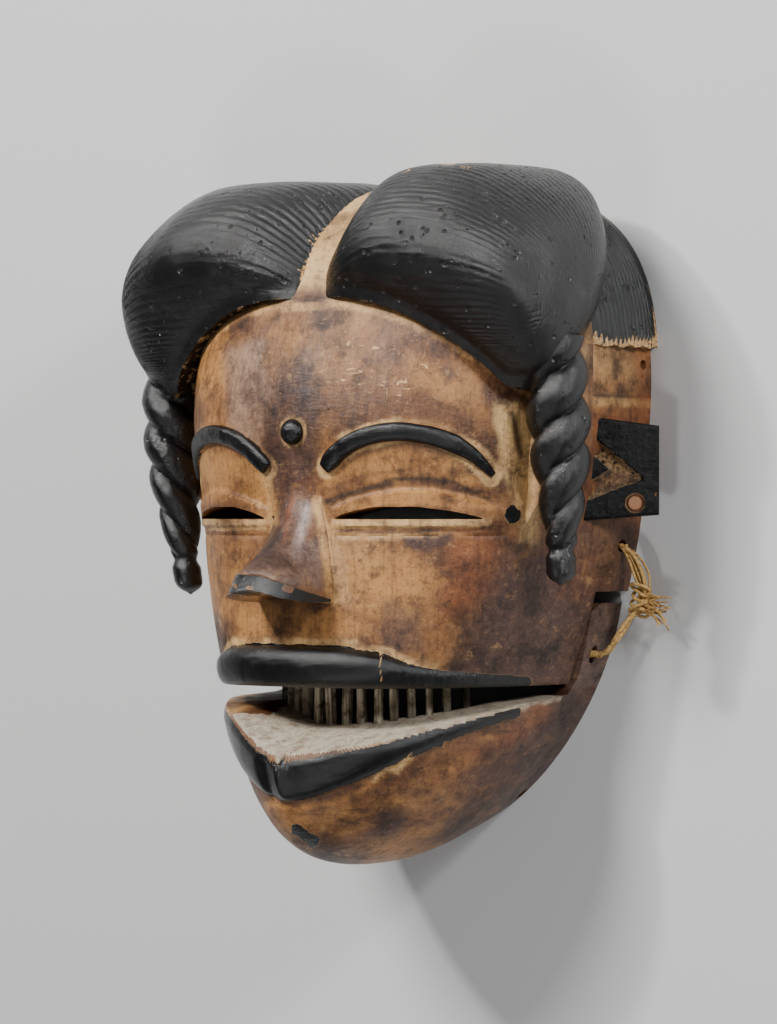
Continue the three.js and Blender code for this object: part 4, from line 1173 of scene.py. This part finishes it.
WEB_MARKS = {
    "bare strip by braid": (0.9, CREAM, "loose", 0, 4, [
        (495, 405), (520, 398), (536, 450), (537, 548), (520, 542), (512, 500)]),
    "red foot": (0.8, RUST, "loose", 0, 12, [(515, 540), (560, 520), (600, 560), (560, 600)]),
}
WEB_CRACK = ("loose", 5, 2.5, [(512, 412), (517, 436), (521, 470), (516, 500)])


def braid_web(side):
    corners = np.array(BRAID_WEB, float)
    outline = np.concatenate([np.linspace(a, b, 14, endpoint=False)
                              for a, b in zip(corners, np.roll(corners, -1, axis=0))])
    ys = np.linspace(BRAID_WEB_FOOT_Y, BRAID["top_y"] - 2, WEB_ROWS)[:, None]
    rings = grid(outline[:, 0], ys, outline[:, 1])
    push = unit((rings - (70, 0, 42)) * (1, 0, 1))
    rings = rings + push * (0.8 * noise(rings * (1, 0.5, 1), 9, 61) - 0.5)[..., None]
    tuck = smooth(BRAID_WEB_FOOT_Y + 40, BRAID_WEB_FOOT_Y, ys)
    rings[..., 0] -= tuck * 0.8 * (rings[..., 0] - 60) * (rings[..., 0] > 60)
    web = loft(f"braid_web_{side}", rings)
    cut(web, [head_hollow()])
    if side == "right":
        mirror_piece(web)
    p = vertices(web)
    places = {"loose": ragged(p, 62)}
    layers = [
        (0.4 + noise(p * (1, 0.4, 1), 12, 62), UMBER),
        *drawn_layers(places, WEB_MARKS),
        (0.6 * noise(p, 7, 63), CREAM),
        (0.85 * drawn(places, *WEB_CRACK), DEEP),
        (0.8 * np.clip(noise(p * (1, 0.3, 1), 6, 66) * 1.6, 0, 1), UMBER),
    ]
    paint(web, "tint", tinted(BROWN, layers))
    paint(web, "pigment", 0.25 + 0.4 * noise(p, 10, 64))
    finish_piece(web, "mask", FACE_WOOD)


for side in SIDES:
    braid(side)
    braid_web(side)


# Ears
def on_ear(along, y, out):
    """The place that lies so far along the ear's plate, up it and out of its face."""
    cos, sin = math.cos(EAR["turn"]), math.sin(EAR["turn"])
    return grid(EAR["inner_x"] + along * cos + out * sin, y, EAR["inner_z"] - along * sin + out * cos)


def ear(side):
    columns, rows = EAR_MESH
    along = np.concatenate([np.linspace(-EAR["root"], 0, 12, endpoint=False),
                            np.linspace(0, EAR["reach"], columns)])[:, None]
    from_root = (along + EAR["root"]) / (EAR["reach"] + EAR["root"])
    foot = EAR["foot_y"] - 1 + 3.5 * from_root
    top = EAR["top_y"] + 1 - 6 * from_root
    y = foot + (top - foot) * np.linspace(0, 1, rows)
    place = np.column_stack([np.broadcast_to(along, y.shape).ravel(), y.ravel()])
    inner = patch(place, CHEVRON, 0.01) > 0.5
    wall = from_line(place, CHEVRON + CHEVRON[:1])
    groove = np.where(inner, np.minimum(1.15 * wall, CHEVRON_DEPTH), 0).reshape(y.shape)
    border = np.minimum(np.minimum(y - foot, top - y), EAR["reach"] - along)
    rounding = 1.0 - np.sqrt(1 - (1 - np.clip(border, 0, 1)) ** 2)
    rough = 0.22 * noise(on_ear(along, y, 0.0), 6, 55) - 0.2
    front = on_ear(along, y, rough - groove - rounding)
    back = on_ear(along, np.hstack([top, (top + foot) / 2, foot]), -EAR["thickness"])
    plate = loft(f"ear_{side}", np.concatenate([front, back], axis=1))
    if side == "left":
        cut(plate, [bar(on_ear(PEG["along"], PEG["y"], -20), on_ear(PEG["along"], PEG["y"], 10),
                        PEG["radius"] + PEG["clearance"], 48)])
    cut(plate, [head_hollow()])
    if side == "right":
        mirror_piece(plate)
    q = vertices(plate) * (1 if side == "left" else -1, 1, 1)
    cos, sin = math.cos(EAR["turn"]), math.sin(EAR["turn"])
    along = (q[:, 0] - EAR["inner_x"]) * cos - (q[:, 2] - EAR["inner_z"]) * sin
    facing = (q[:, 0] - EAR["inner_x"]) * sin + (q[:, 2] - EAR["inner_z"]) * cos
    place = np.column_stack([along, q[:, 1]]) + 0.5 * np.column_stack([noise(q, 3, 56), noise(q, 3, 57)])
    lower_arm = patch(place, CHEVRON_LOWER_ARM, 0.5) * (facing > -4)
    upper_arm = patch(place, CHEVRON_UPPER_ARM, 0.5) * (facing > -4)
    point = patch(place, CHEVRON_POINT, 0.6) * (facing > -4)
    inner_end = smooth(7.5, 3.5, along)
    to_end = EAR["reach"] - along
    edge = smooth(2.2, 1.4, to_end) * smooth(0.2, 1.0, to_end)
    peg_rim = smooth(3.9, 3.2, np.hypot(along - PEG["along"], q[:, 1] - PEG["y"])) * (side == "left")
    worn = [  # where, how strong and what tone, and how bare of pigment
        (lower_arm, 0.8, EAR_GREY, 0.62),
        (upper_arm, 0.8, EAR_GREY, 0.55),
        (point, 0.6, EAR_GREY, 0.5),
        (upper_arm * inner_end, 0.9, GOLD, 0.9),
        (lower_arm * inner_end, 1.0, CREAM, 1.0),
        (peg_rim, 0.7, BROWN, 0.6),
        (edge, 0.7, RUST, 0.4),
        (smooth(-1.5, -3.0, facing), 1.0, BROWN, 1.0),
    ]
    paint(plate, "tint", tinted(UMBER, [(strength * where, tone) for where, strength, tone, _ in worn]))
    paint(plate, "pigment", 1 - np.maximum.reduce([bare * where for where, _, _, bare in worn]))
    finish_piece(plate, "mask", EAR_WOOD, sharp=50)


def ear_peg():
    foot = on_ear(PEG["along"], PEG["y"], PEG["foot"])
    top = on_ear(PEG["along"], PEG["y"], PEG["top"])
    axis = unit(top - foot)
    up = np.array([0.0, 1.0, 0.0])
    angle = circle(40)[:, None]
    rim = np.cross(up, axis) * np.cos(angle) + up * np.sin(angle)
    rows = [(foot, 0.97), (foot + 0.4 * axis, 1), (top - 0.5 * axis, 1), (top - 0.1 * axis, 0.93), (top, 0.8),
            (top - 0.05 * axis, 0.4)]
    peg = loft("ear_peg", np.array([centre + rim * PEG["radius"] * share for centre, share in rows]))
    finish_piece(peg, "mask", PEG_WOOD, ("ear_peg_left",))


for side in SIDES:
    ear(side)
ear_peg()


# Lower jaw
def jaw_half_width(z):
    return JAW["half_width"] * rounded(z / JAW["lip_z"], 2.2, 0.0004)


def jaw_floor(z):
    fall = ((JAW["chin_z"] - z) / JAW["chin_z"]) ** 2
    rear = JAW["chin_y"] + (JAW["rear_chin_y"] - JAW["chin_y"]) * fall
    t = np.clip((z - JAW["chin_z"]) / (JAW["lip_z"] - JAW["chin_z"]), 0, 1)
    front = JAW["lip_y"] + (JAW["chin_y"] - JAW["lip_y"]) * rounded(t, 2.5, 0.002)
    return np.where(z < JAW["chin_z"], rear, front)


def jaw_power(z):
    return 1.6 + 0.4 * smooth(5, 65, z)


def rim_of_jaw(z):
    return MOUTH_REAR_Y - MOUTH_FRONT_DROP * (np.maximum(z, 0) / JAW["lip_z"]) ** 2


def lifted_rim(x, z):
    """The height of the jaw's rim, which is carved higher on the mask's right."""
    return rim_of_jaw(z) + JAW["right_lift"] * (1 - smooth(-28, 2, x)) * smooth(30, 95, z)


def jaw_ring(z, half, floor, power, angle):
    depth_share = np.maximum(np.sin(angle), 0) ** (2 / power)
    return grid(half * signed_power(np.cos(angle), 2 / power) + JAW["skew"] * z,
                JAW["spring_y"] - (JAW["spring_y"] - floor) * depth_share, z)


def jaw_hollow():
    angle = np.linspace(0, np.pi, 80)
    rings = []
    for z in np.concatenate([[-20], np.linspace(0, 70, 30), [72.5, 75, 76.5, 77.4]]):
        ahead = max(z, 0)
        floor = jaw_floor(ahead) + JAW["wall"] + 26 * smooth(40, SHELF_INNER_Z, z) ** 2
        share = rounded(ahead / SHELF_INNER_Z, 2.4, 0.003)
        half = (JAW["half_width"] - JAW["wall"]) * (1 - 0.08 * smooth(0, 40, z)) * share
        rings.append(jaw_ring(z, half, floor, 1.8, angle))
    return loft("cutter", np.array(rings))


def over_jaw():
    """The cutter that leaves the jaw's rim, its whitened shelf and its arms."""
    zs = np.linspace(RAMUS_Z + 6, 125, 70)
    rings = []
    for x in np.concatenate([[-140, -80], np.linspace(-60, 30, 46), [80, 140]]):
        ripple = 0.35 * noise(grid(x, 0.0, zs), 11, 71)
        shelf = grid(x, lifted_rim(x, zs) + ripple, zs)
        head = [(x, 20, -30), (x, JAW["top_y"], -30), (x, JAW["top_y"], RAMUS_Z - 5),
                (x, JAW["top_y"] - 3, RAMUS_Z), (x, -57, RAMUS_Z - 1.6),
                (x, float(rim_of_jaw(RAMUS_Z + 2)), RAMUS_Z + 1)]
        rings.append(np.vstack([head, shelf, [(x, 20, 125)]]))
    return loft("cutter", np.array(rings))


def jaw_outline(turn, y):
    """Where a level line leaves the jaw, by its turn from straight ahead about the middle of the jaw."""
    near, far = np.zeros(len(turn)), np.full(len(turn), 120.0)
    for _ in range(30):
        middle = (near + far) / 2
        x, z = middle * np.sin(turn), JAW["middle_z"] + middle * np.cos(turn)
        ahead = np.maximum(z, 0)
        power = jaw_power(z)
        fall = (JAW["spring_y"] - y) / (JAW["spring_y"] - jaw_floor(ahead))
        inside = (z < JAW["lip_z"]) & ((np.abs(x) / jaw_half_width(ahead)) ** power + fall ** power < 1)
        near, far = np.where(inside, middle, near), np.where(inside, far, middle)
    z = JAW["middle_z"] + near * np.cos(turn)
    return near * np.sin(turn) + JAW["skew"] * z, z


def lower_lip_rows():
    """The foot and half height of the lower lip at each of a row of turns."""
    share = np.linspace(-1, 1, 81)
    turn = share * LOWER_LIP["half_turn"]
    foot = LOWER_LIP["foot_y"] + LOWER_LIP["foot_rise"] * np.sin(np.pi / 2 * np.abs(share)) ** 1.4
    x, z = jaw_outline(turn, foot)
    return turn, foot, (lifted_rim(x, z) - foot) / 2 + 1


LIP_ROWS = lower_lip_rows()


def lower_lip_height(points):
    """How far the lower lip stands out at each point, how near its middle that is, and the turn."""
    x, y, z = points.T
    turn = np.arctan2(x - JAW["skew"] * z, z - JAW["middle_z"])
    turns, feet, halves = LIP_ROWS
    half = np.interp(turn, turns, halves)
    centre = np.interp(turn, turns, feet) + half
    share = np.clip(np.abs(turn) / LOWER_LIP["half_turn"], 0, 1)
    proud = LOWER_LIP["edge_proud"] + (LOWER_LIP["proud"] - LOWER_LIP["edge_proud"]) * (1 - share ** 2)
    place = (centre - y) / half
    full = np.maximum(1 - np.maximum(place, 0) ** 3.0, 0) ** 0.5
    under_rim = lifted_rim(x, z) - y
    pulled = 2.4 * np.clip(1 - under_rim / 4.5, 0, 1.3) ** 2 * (1 - 0.5 * share)
    on = (np.abs(turn) < LOWER_LIP["half_turn"]) & (z > 20)
    return np.where(on, proud * full - pulled, 0), np.where(on, np.maximum(place, 0), 9), turn


JAW_STAINS = {
    "near chin": (0.85, GOLD, "loose", 0, 9, [
        (258, 808), (330, 806), (400, 790), (480, 755), (430, 806), (350, 832), (290, 842)]),
    "under chin": (0.7, GOLD, "loose", 0, 8, [(345, 850), (440, 822), (450, 842), (390, 866), (340, 866)]),
    "chin streak": (0.9, PURPLE, "loose", 18, 8, [(322, 860), (360, 846), (400, 824)]),
    "upper chin streak": (0.8, UMBER, "loose", 8, 5, [(340, 826), (400, 812), (440, 798)]),
    "side of jaw": (0.9, PURPLE, "loose", 0, 16, [
        (470, 772), (545, 705), (600, 600), (640, 640), (600, 740), (520, 815), (440, 835)]),
    "red below lip": (0.6, RUST, "loose", 14, 8, [(430, 780), (500, 745), (545, 712)]),
}
LIP_MARKS = {
    "under lip": (0.9, GOLD, "loose", 6, 3, [
        (268, 806), (300, 808), (340, 802), (372, 785), (390, 770), (412, 757)]),
    "chip of lip": (0.9, CREAM, "loose", 4, 2, [(374, 781), (386, 770), (396, 771), (412, 757)]),
    "red end of lip": (0.9, RUST, "tight", 3, 1.5, [(500, 716), (535, 708), (553, 698)]),
}
BARE_CORNER = ("loose", 0, 3, [(218, 700), (240, 684), (265, 684), (262, 700), (236, 712), (224, 720)])
LIP_CHIP = ("loose", 4, 2, [(376, 779), (386, 770), (396, 770), (412, 756)])
CHIN_SPOT = ("loose", 12, 7, [(297, 831), (312, 842)])
BROKEN_CHALK = ("loose", 0, 4, [
    (216, 698), (240, 684), (300, 690), (292, 704), (268, 716), (236, 712), (224, 722)])
CHALK_FADE = (500, 550)
SWEPT_PALE_END = 500


def jaw_carving():
    angle = np.linspace(0, np.pi, JAW_COLUMNS)
    front = JAW["lip_z"] - 34 * (1 - np.linspace(0, 1, 80) ** 0.45)
    zs = np.unique(np.concatenate([np.linspace(0, 70.5, 80), np.clip(front, 70.5, 104.4)]))
    points = np.array([jaw_ring(z, jaw_half_width(z), jaw_floor(z), jaw_power(z), angle) for z in zs])
    flat = points.reshape(-1, 3)
    x, y, z = flat.T
    height, _, turn = lower_lip_height(flat)
    fold_x = x + 3.9 - 0.25 * (-83 - y)
    by_fold = smooth(-98, -93, y) * smooth(-80, -84, y) * (z > 70)
    height = height + by_fold * (1.0 * bell(fold_x - 7.5, 2.2) - 1.5 * bell(fold_x, 2.4))
    height = height + 0.25 * noise(flat * (1, 0.6, 1), 15, 73) + 0.06 * noise(flat, 3, 77, 2)
    height *= smooth(1, 8, z)
    out = unit(grid(np.sin(turn), -0.25, np.cos(turn)))
    jaw = loft("lower_jaw_carving", (flat + out * height[:, None]).reshape(points.shape))
    tie_hole = bar((50, HINGE_Y, HINGE_Z), (90, HINGE_Y, HINGE_Z), TIE["hole"], stretch=TIE["jaw_stretch"])
    cut(jaw, [jaw_hollow(), over_jaw(), *on_both_sides(tie_hole), *on_both_sides(bar(*CHIN_HOLE))])
    return jaw


def paint_jaw(jaw):
    p = vertices(jaw)
    n = normals(jaw)
    x, y, z = p.T
    _, near, turn = lower_lip_height(p)
    rim = lifted_rim(x, z)
    on_top = (rim - y < 0.5) & (n[:, 1] > 0.05) & (z > RAMUS_Z + 4)
    outer = n[:, 1] < 0.4
    middle, broad, fine = noise(p, 13, 74), noise(p, 34, 75), noise(p, 4, 78)
    places = {"loose": ragged(p, 76), "tight": ragged(p, 79, 1.5)}
    across = places["loose"][:, 0]
    sweep = lattice(p * (0.35, 1, 0.35), 4.5, 80) * 1.4
    inner = (~on_top) & (((x - JAW["skew"] * z) * n[:, 0] + (z - 30) * n[:, 2] + (y + 70) * n[:, 1]) < 0)
    arm_front = (z < RAMUS_Z + 5) & (y > -60)
    top_edge = smooth(2.2, 0.8, rim - y + fine) * (~on_top) * outer * (z > RAMUS_Z + 5)
    layers = [
        (0.5 + 0.5 * broad, UMBER),
        *drawn_layers(places, JAW_STAINS),
        (0.75 * np.clip(sweep, 0, 1), UMBER),
        (0.45 * np.clip(-sweep, 0, 1) * (across < SWEPT_PALE_END), GOLD),
        (0.7 * arm_front, GREY_PURPLE),
        (0.5 * arm_front * np.clip(middle * 2, 0, 1), UMBER),
        *drawn_layers(places, LIP_MARKS),
        (0.8 * top_edge, KAOLIN),
        (0.9 * drawn(places, *BARE_CORNER), PALE),
        (0.9 * np.clip(noise(p * (1, 1, 0.3), 5, 84) * 2, 0, 1) * on_top, UMBER),
        (1.0 * inner, tuple(0.5 * np.array(BROWN))),
    ]
    paint(jaw, "tint", tinted(BROWN, layers))
    lip_end = smooth(1.0, 0.86, np.abs(turn) / LOWER_LIP["half_turn"] + 0.05 * middle)
    pigment = smooth(1.1, 0.93, near + 0.07 * fine) * outer * (~inner) * lip_end
    pigment = pigment * (1 - 0.9 * drawn(places, *LIP_CHIP)) * (1 - 0.45 * top_edge * (0.5 + 1.6 * middle))
    chin_spot = drawn(places, *CHIN_SPOT) * (z > 50) * (x > -30)
    paint(jaw, "pigment", np.clip(np.maximum(pigment, chin_spot), 0, 1))
    chalk = 0.95 - 0.75 * drawn(places, *BROKEN_CHALK) - 0.35 * smooth(*CHALK_FADE, across)
    paint(jaw, "chalk", np.where(on_top, chalk, 0))


jaw = jaw_carving()
paint_jaw(jaw)
finish_piece(jaw, "jaw", JAW_WOOD, ("lower_jaw",))


# Cane teeth
TOOTH_SHADE = (430, 462)  # painted shade: from here to there across the picture the teeth turn dark


def tooth_places():
    for angle in np.linspace(-TOOTH["span"], TOOTH["span"], TOOTH["count"]):
        z = (SHELF_INNER_Z - 1.2) * math.cos(angle) ** 0.72
        x = TOOTH["row_half"] * float(signed_power(math.sin(angle), 0.95))
        yield x + JAW["skew"] * z, z, angle * 0.9


def tooth(index, x, z, angle):
    low = float(rim_of_jaw(z)) - TOOTH["root"]
    y = np.linspace(low, TOOTH["top_y"], 30)[:, None]
    corner = circle(20)
    shape_a = signed_power(np.cos(corner), 0.32) * TOOTH["width"] / 2
    shape_b = signed_power(np.sin(corner), 0.32) * TOOTH["depth"] / 2
    lean = random.uniform(-0.6, 0.6, 2)
    width = random.uniform(0.85, 1.2)
    tone = random.uniform(-0.25, 0.25)
    share = (y - low) / (TOOTH["top_y"] - low)
    size = 1 - 0.06 * np.abs(np.sin(7 * share + index)) - 0.04 * share
    a = shape_a * size * (1 + (width - 1) * share) + lean[0] * share
    b = shape_b * size + lean[1] * share + 0.12 * shape_a * share
    cos, sin = math.cos(angle), math.sin(angle)
    stick = loft(f"cane_tooth_{index + 1:02d}", grid(x + a * cos + b * sin, y, z - a * sin + b * cos))
    p = vertices(stick)
    # painted shade: darker on the sticks to the right of the picture and near the jaw's rim, added to each
    # stick's own random tone
    painted_shade_across = 0.45 * smooth(*TOOTH_SHADE, in_picture(p)[:, 0])
    painted_shade_at_root = 0.3 * smooth(4, 0, p[:, 1] - low - TOOTH["root"])
    paint(stick, "shade", np.clip(0.5 + tone + painted_shade_across + painted_shade_at_root, 0, 1))
    finish_piece(stick, "jaw", CANE, (f"tooth_{index + 1:02d}",), sharp=50)


for index, place in enumerate(tooth_places()):
    tooth(index, *place)


# Raffia ties
def tube(path, radius, sides=7):
    along = unit(np.gradient(path, axis=0))
    side = unit(np.cross(along, np.array([0.31, 0.2, 0.93])))
    up = np.cross(side, along)
    angle = circle(sides)[None, :, None]
    radius = np.broadcast_to(radius, len(path))[:, None, None]
    return path[:, None] + radius * (side[:, None] * np.cos(angle) + up[:, None] * np.sin(angle))


def merged(name, ring_sets):
    """One mesh of many tubes."""
    points, faces, start = [], [], 0
    for rings in ring_sets:
        rows, columns = rings.shape[:2]
        points.append(rings.reshape(-1, 3))
        for r in range(rows - 1):
            for c in range(columns):
                a, b = start + r * columns + c, start + r * columns + (c + 1) % columns
                faces.append((a, a + columns, b + columns, b))
        faces.append(tuple(start + c for c in range(columns)))
        faces.append(tuple(start + (rows - 1) * columns + c for c in reversed(range(columns))))
        start += rows * columns
    return mesh_object(name, np.vstack(points), faces)


def twist(turn, sideways):
    """Offsets of a strand that winds about its path."""
    return np.column_stack([np.cos(turn), sideways, np.sin(turn)])


def jaw_tie(side):
    sets = []
    inside = spline(TIE_ROUTE[6:] + TIE_ROUTE[:2], 90)
    lower = spline([TIE_KNOT + (-1, -3, 0)] + TIE_ROUTE[4:8], 70)
    for strand in range(TIE_STRANDS["inside"]):
        wind = 2 * np.pi * (5 * np.linspace(0, 1, len(inside)) + strand / TIE_STRANDS["inside"])
        sets.append(tube(inside + 0.7 * twist(wind, 0.3 * np.sin(wind)), 0.62))
    for strand in range(TIE_STRANDS["lower"]):
        pair, part = divmod(strand, 2)
        wind = 2 * np.pi * (2.6 * np.linspace(0, 1, len(lower)) + pair / 2)
        offset = twist(wind, 0.5 * np.cos(wind))
        apart = 0.7 * (part - 0.5) * twist(wind + 1.6, 0.5 * np.cos(wind + 1.6))
        sets.append(tube(lower + offset + apart, 0.72))
    for _ in range(TIE_STRANDS["upper"]):
        bow = random.uniform(-2.6, 3.0)
        shift = random.uniform(-1.6, 1.6)
        route = [(68, -11.5, 9), (74.5, -11.3, 9), (79.5 + 0.6 * bow, -15 + 0.3 * bow, 9 + 0.6 * shift),
                 (83 + bow, -21 + 0.3 * bow, 9 + shift), (84.5 + 0.7 * bow, -26, 9 + 0.7 * shift),
                 TIE_KNOT + (0.4 * bow, random.uniform(-2, 2), 0)]
        sets.append(tube(spline(route, 46), random.uniform(0.38, 0.62)))
    for turn in range(TIE_STRANDS["knot"]):
        ring = np.linspace(0, 2 * np.pi * random.uniform(0.75, 1.0), 46)
        height = (turn - TIE_STRANDS["knot"] // 2) * 1.35
        swell = random.uniform(0.85, 1.35)
        wrap = np.column_stack([3.0 * swell * np.cos(ring + turn), height + 1.6 * np.sin(ring + 2 * turn),
                                2.6 * swell * np.sin(ring + turn)])
        sets.append(tube(TIE_KNOT + wrap, random.uniform(0.5, 0.8)))
    for _ in range(TIE_STRANDS["frayed"]):
        length = random.uniform(7, 13.5)
        way = unit(np.array([1.0, random.uniform(-0.6, 0.35), random.uniform(-0.28, 0.3)]))
        bend = np.array([random.uniform(-0.3, 0), random.uniform(-0.45, 0.25), random.uniform(-0.12, 0.12)])
        t = np.linspace(0, 1, 16)[:, None]
        path = TIE_KNOT + (0, random.uniform(-4, 3), 0) + length * (way * t + bend * t ** 2)
        path[:, 0] = np.minimum(path[:, 0], TIE_END_X)
        sets.append(tube(path, np.linspace(0.55, 0.3, 16), 5))
    tie = merged(f"raffia_tie_{side}", sets)
    if side == "right":
        mirror_piece(tie)
    finish_piece(tie, "mask", RAFFIA, (f"jaw_tie_{side}",), sharp=60)


for side in SIDES:
    jaw_tie(side)


# Floor and soft studio light
LIGHTS = {  # place and size in metres, power in watts and colour
    "key": ((-0.25, 1.0, 1.25), 0.5, 25, (1, 0.98, 0.95)),
    "side": ((1.35, 0.7, 0.55), 0.4, 11, (0.96, 0.98, 1)),
    "front": ((0.3, -0.8, 1.3), 0.25, 5, (1, 1, 1)),
    "high_glint": ((-0.45, 0.8, 1.1), 0.1, 10, (1, 1, 1)),
    "side_glint": ((1.3, 0.7, 0.7), 0.12, 6, (1, 1, 1)),
}
LIT_POINT = Vector((0, 0, 0.05))
SKY_COLOUR = (0.75, 0.77, 0.8, 1)
SKY_STRENGTH = 0.18


def floor():
    ground = block((-6000, -6000, -20), (6000, 6000, 0), "floor")
    s = Shader("pale_floor")
    s.put(s.surface.inputs["Base Color"], FLOOR_TONE)
    s.put(s.surface.inputs["Roughness"], 0.85)
    s.put(s.surface.inputs["Specular IOR Level"], 0.2)
    ground.data.materials.append(s.material)


floor()
for name, (place, size, power, colour) in LIGHTS.items():
    data = bpy.data.lights.new(name, "AREA")
    data.shape = "DISK"
    data.size = size
    data.energy = power
    data.color = colour
    light = bpy.data.objects.new(name, data)
    bpy.context.scene.collection.objects.link(light)
    light.location = place
    light.rotation_euler = (Vector(place) - LIT_POINT).to_track_quat("Z", "Y").to_euler()

world = bpy.data.worlds.new("studio")
world.use_nodes = True
background = world.node_tree.nodes["Background"]
background.inputs["Color"].default_value = SKY_COLOUR
background.inputs["Strength"].default_value = SKY_STRENGTH
bpy.context.scene.world = world
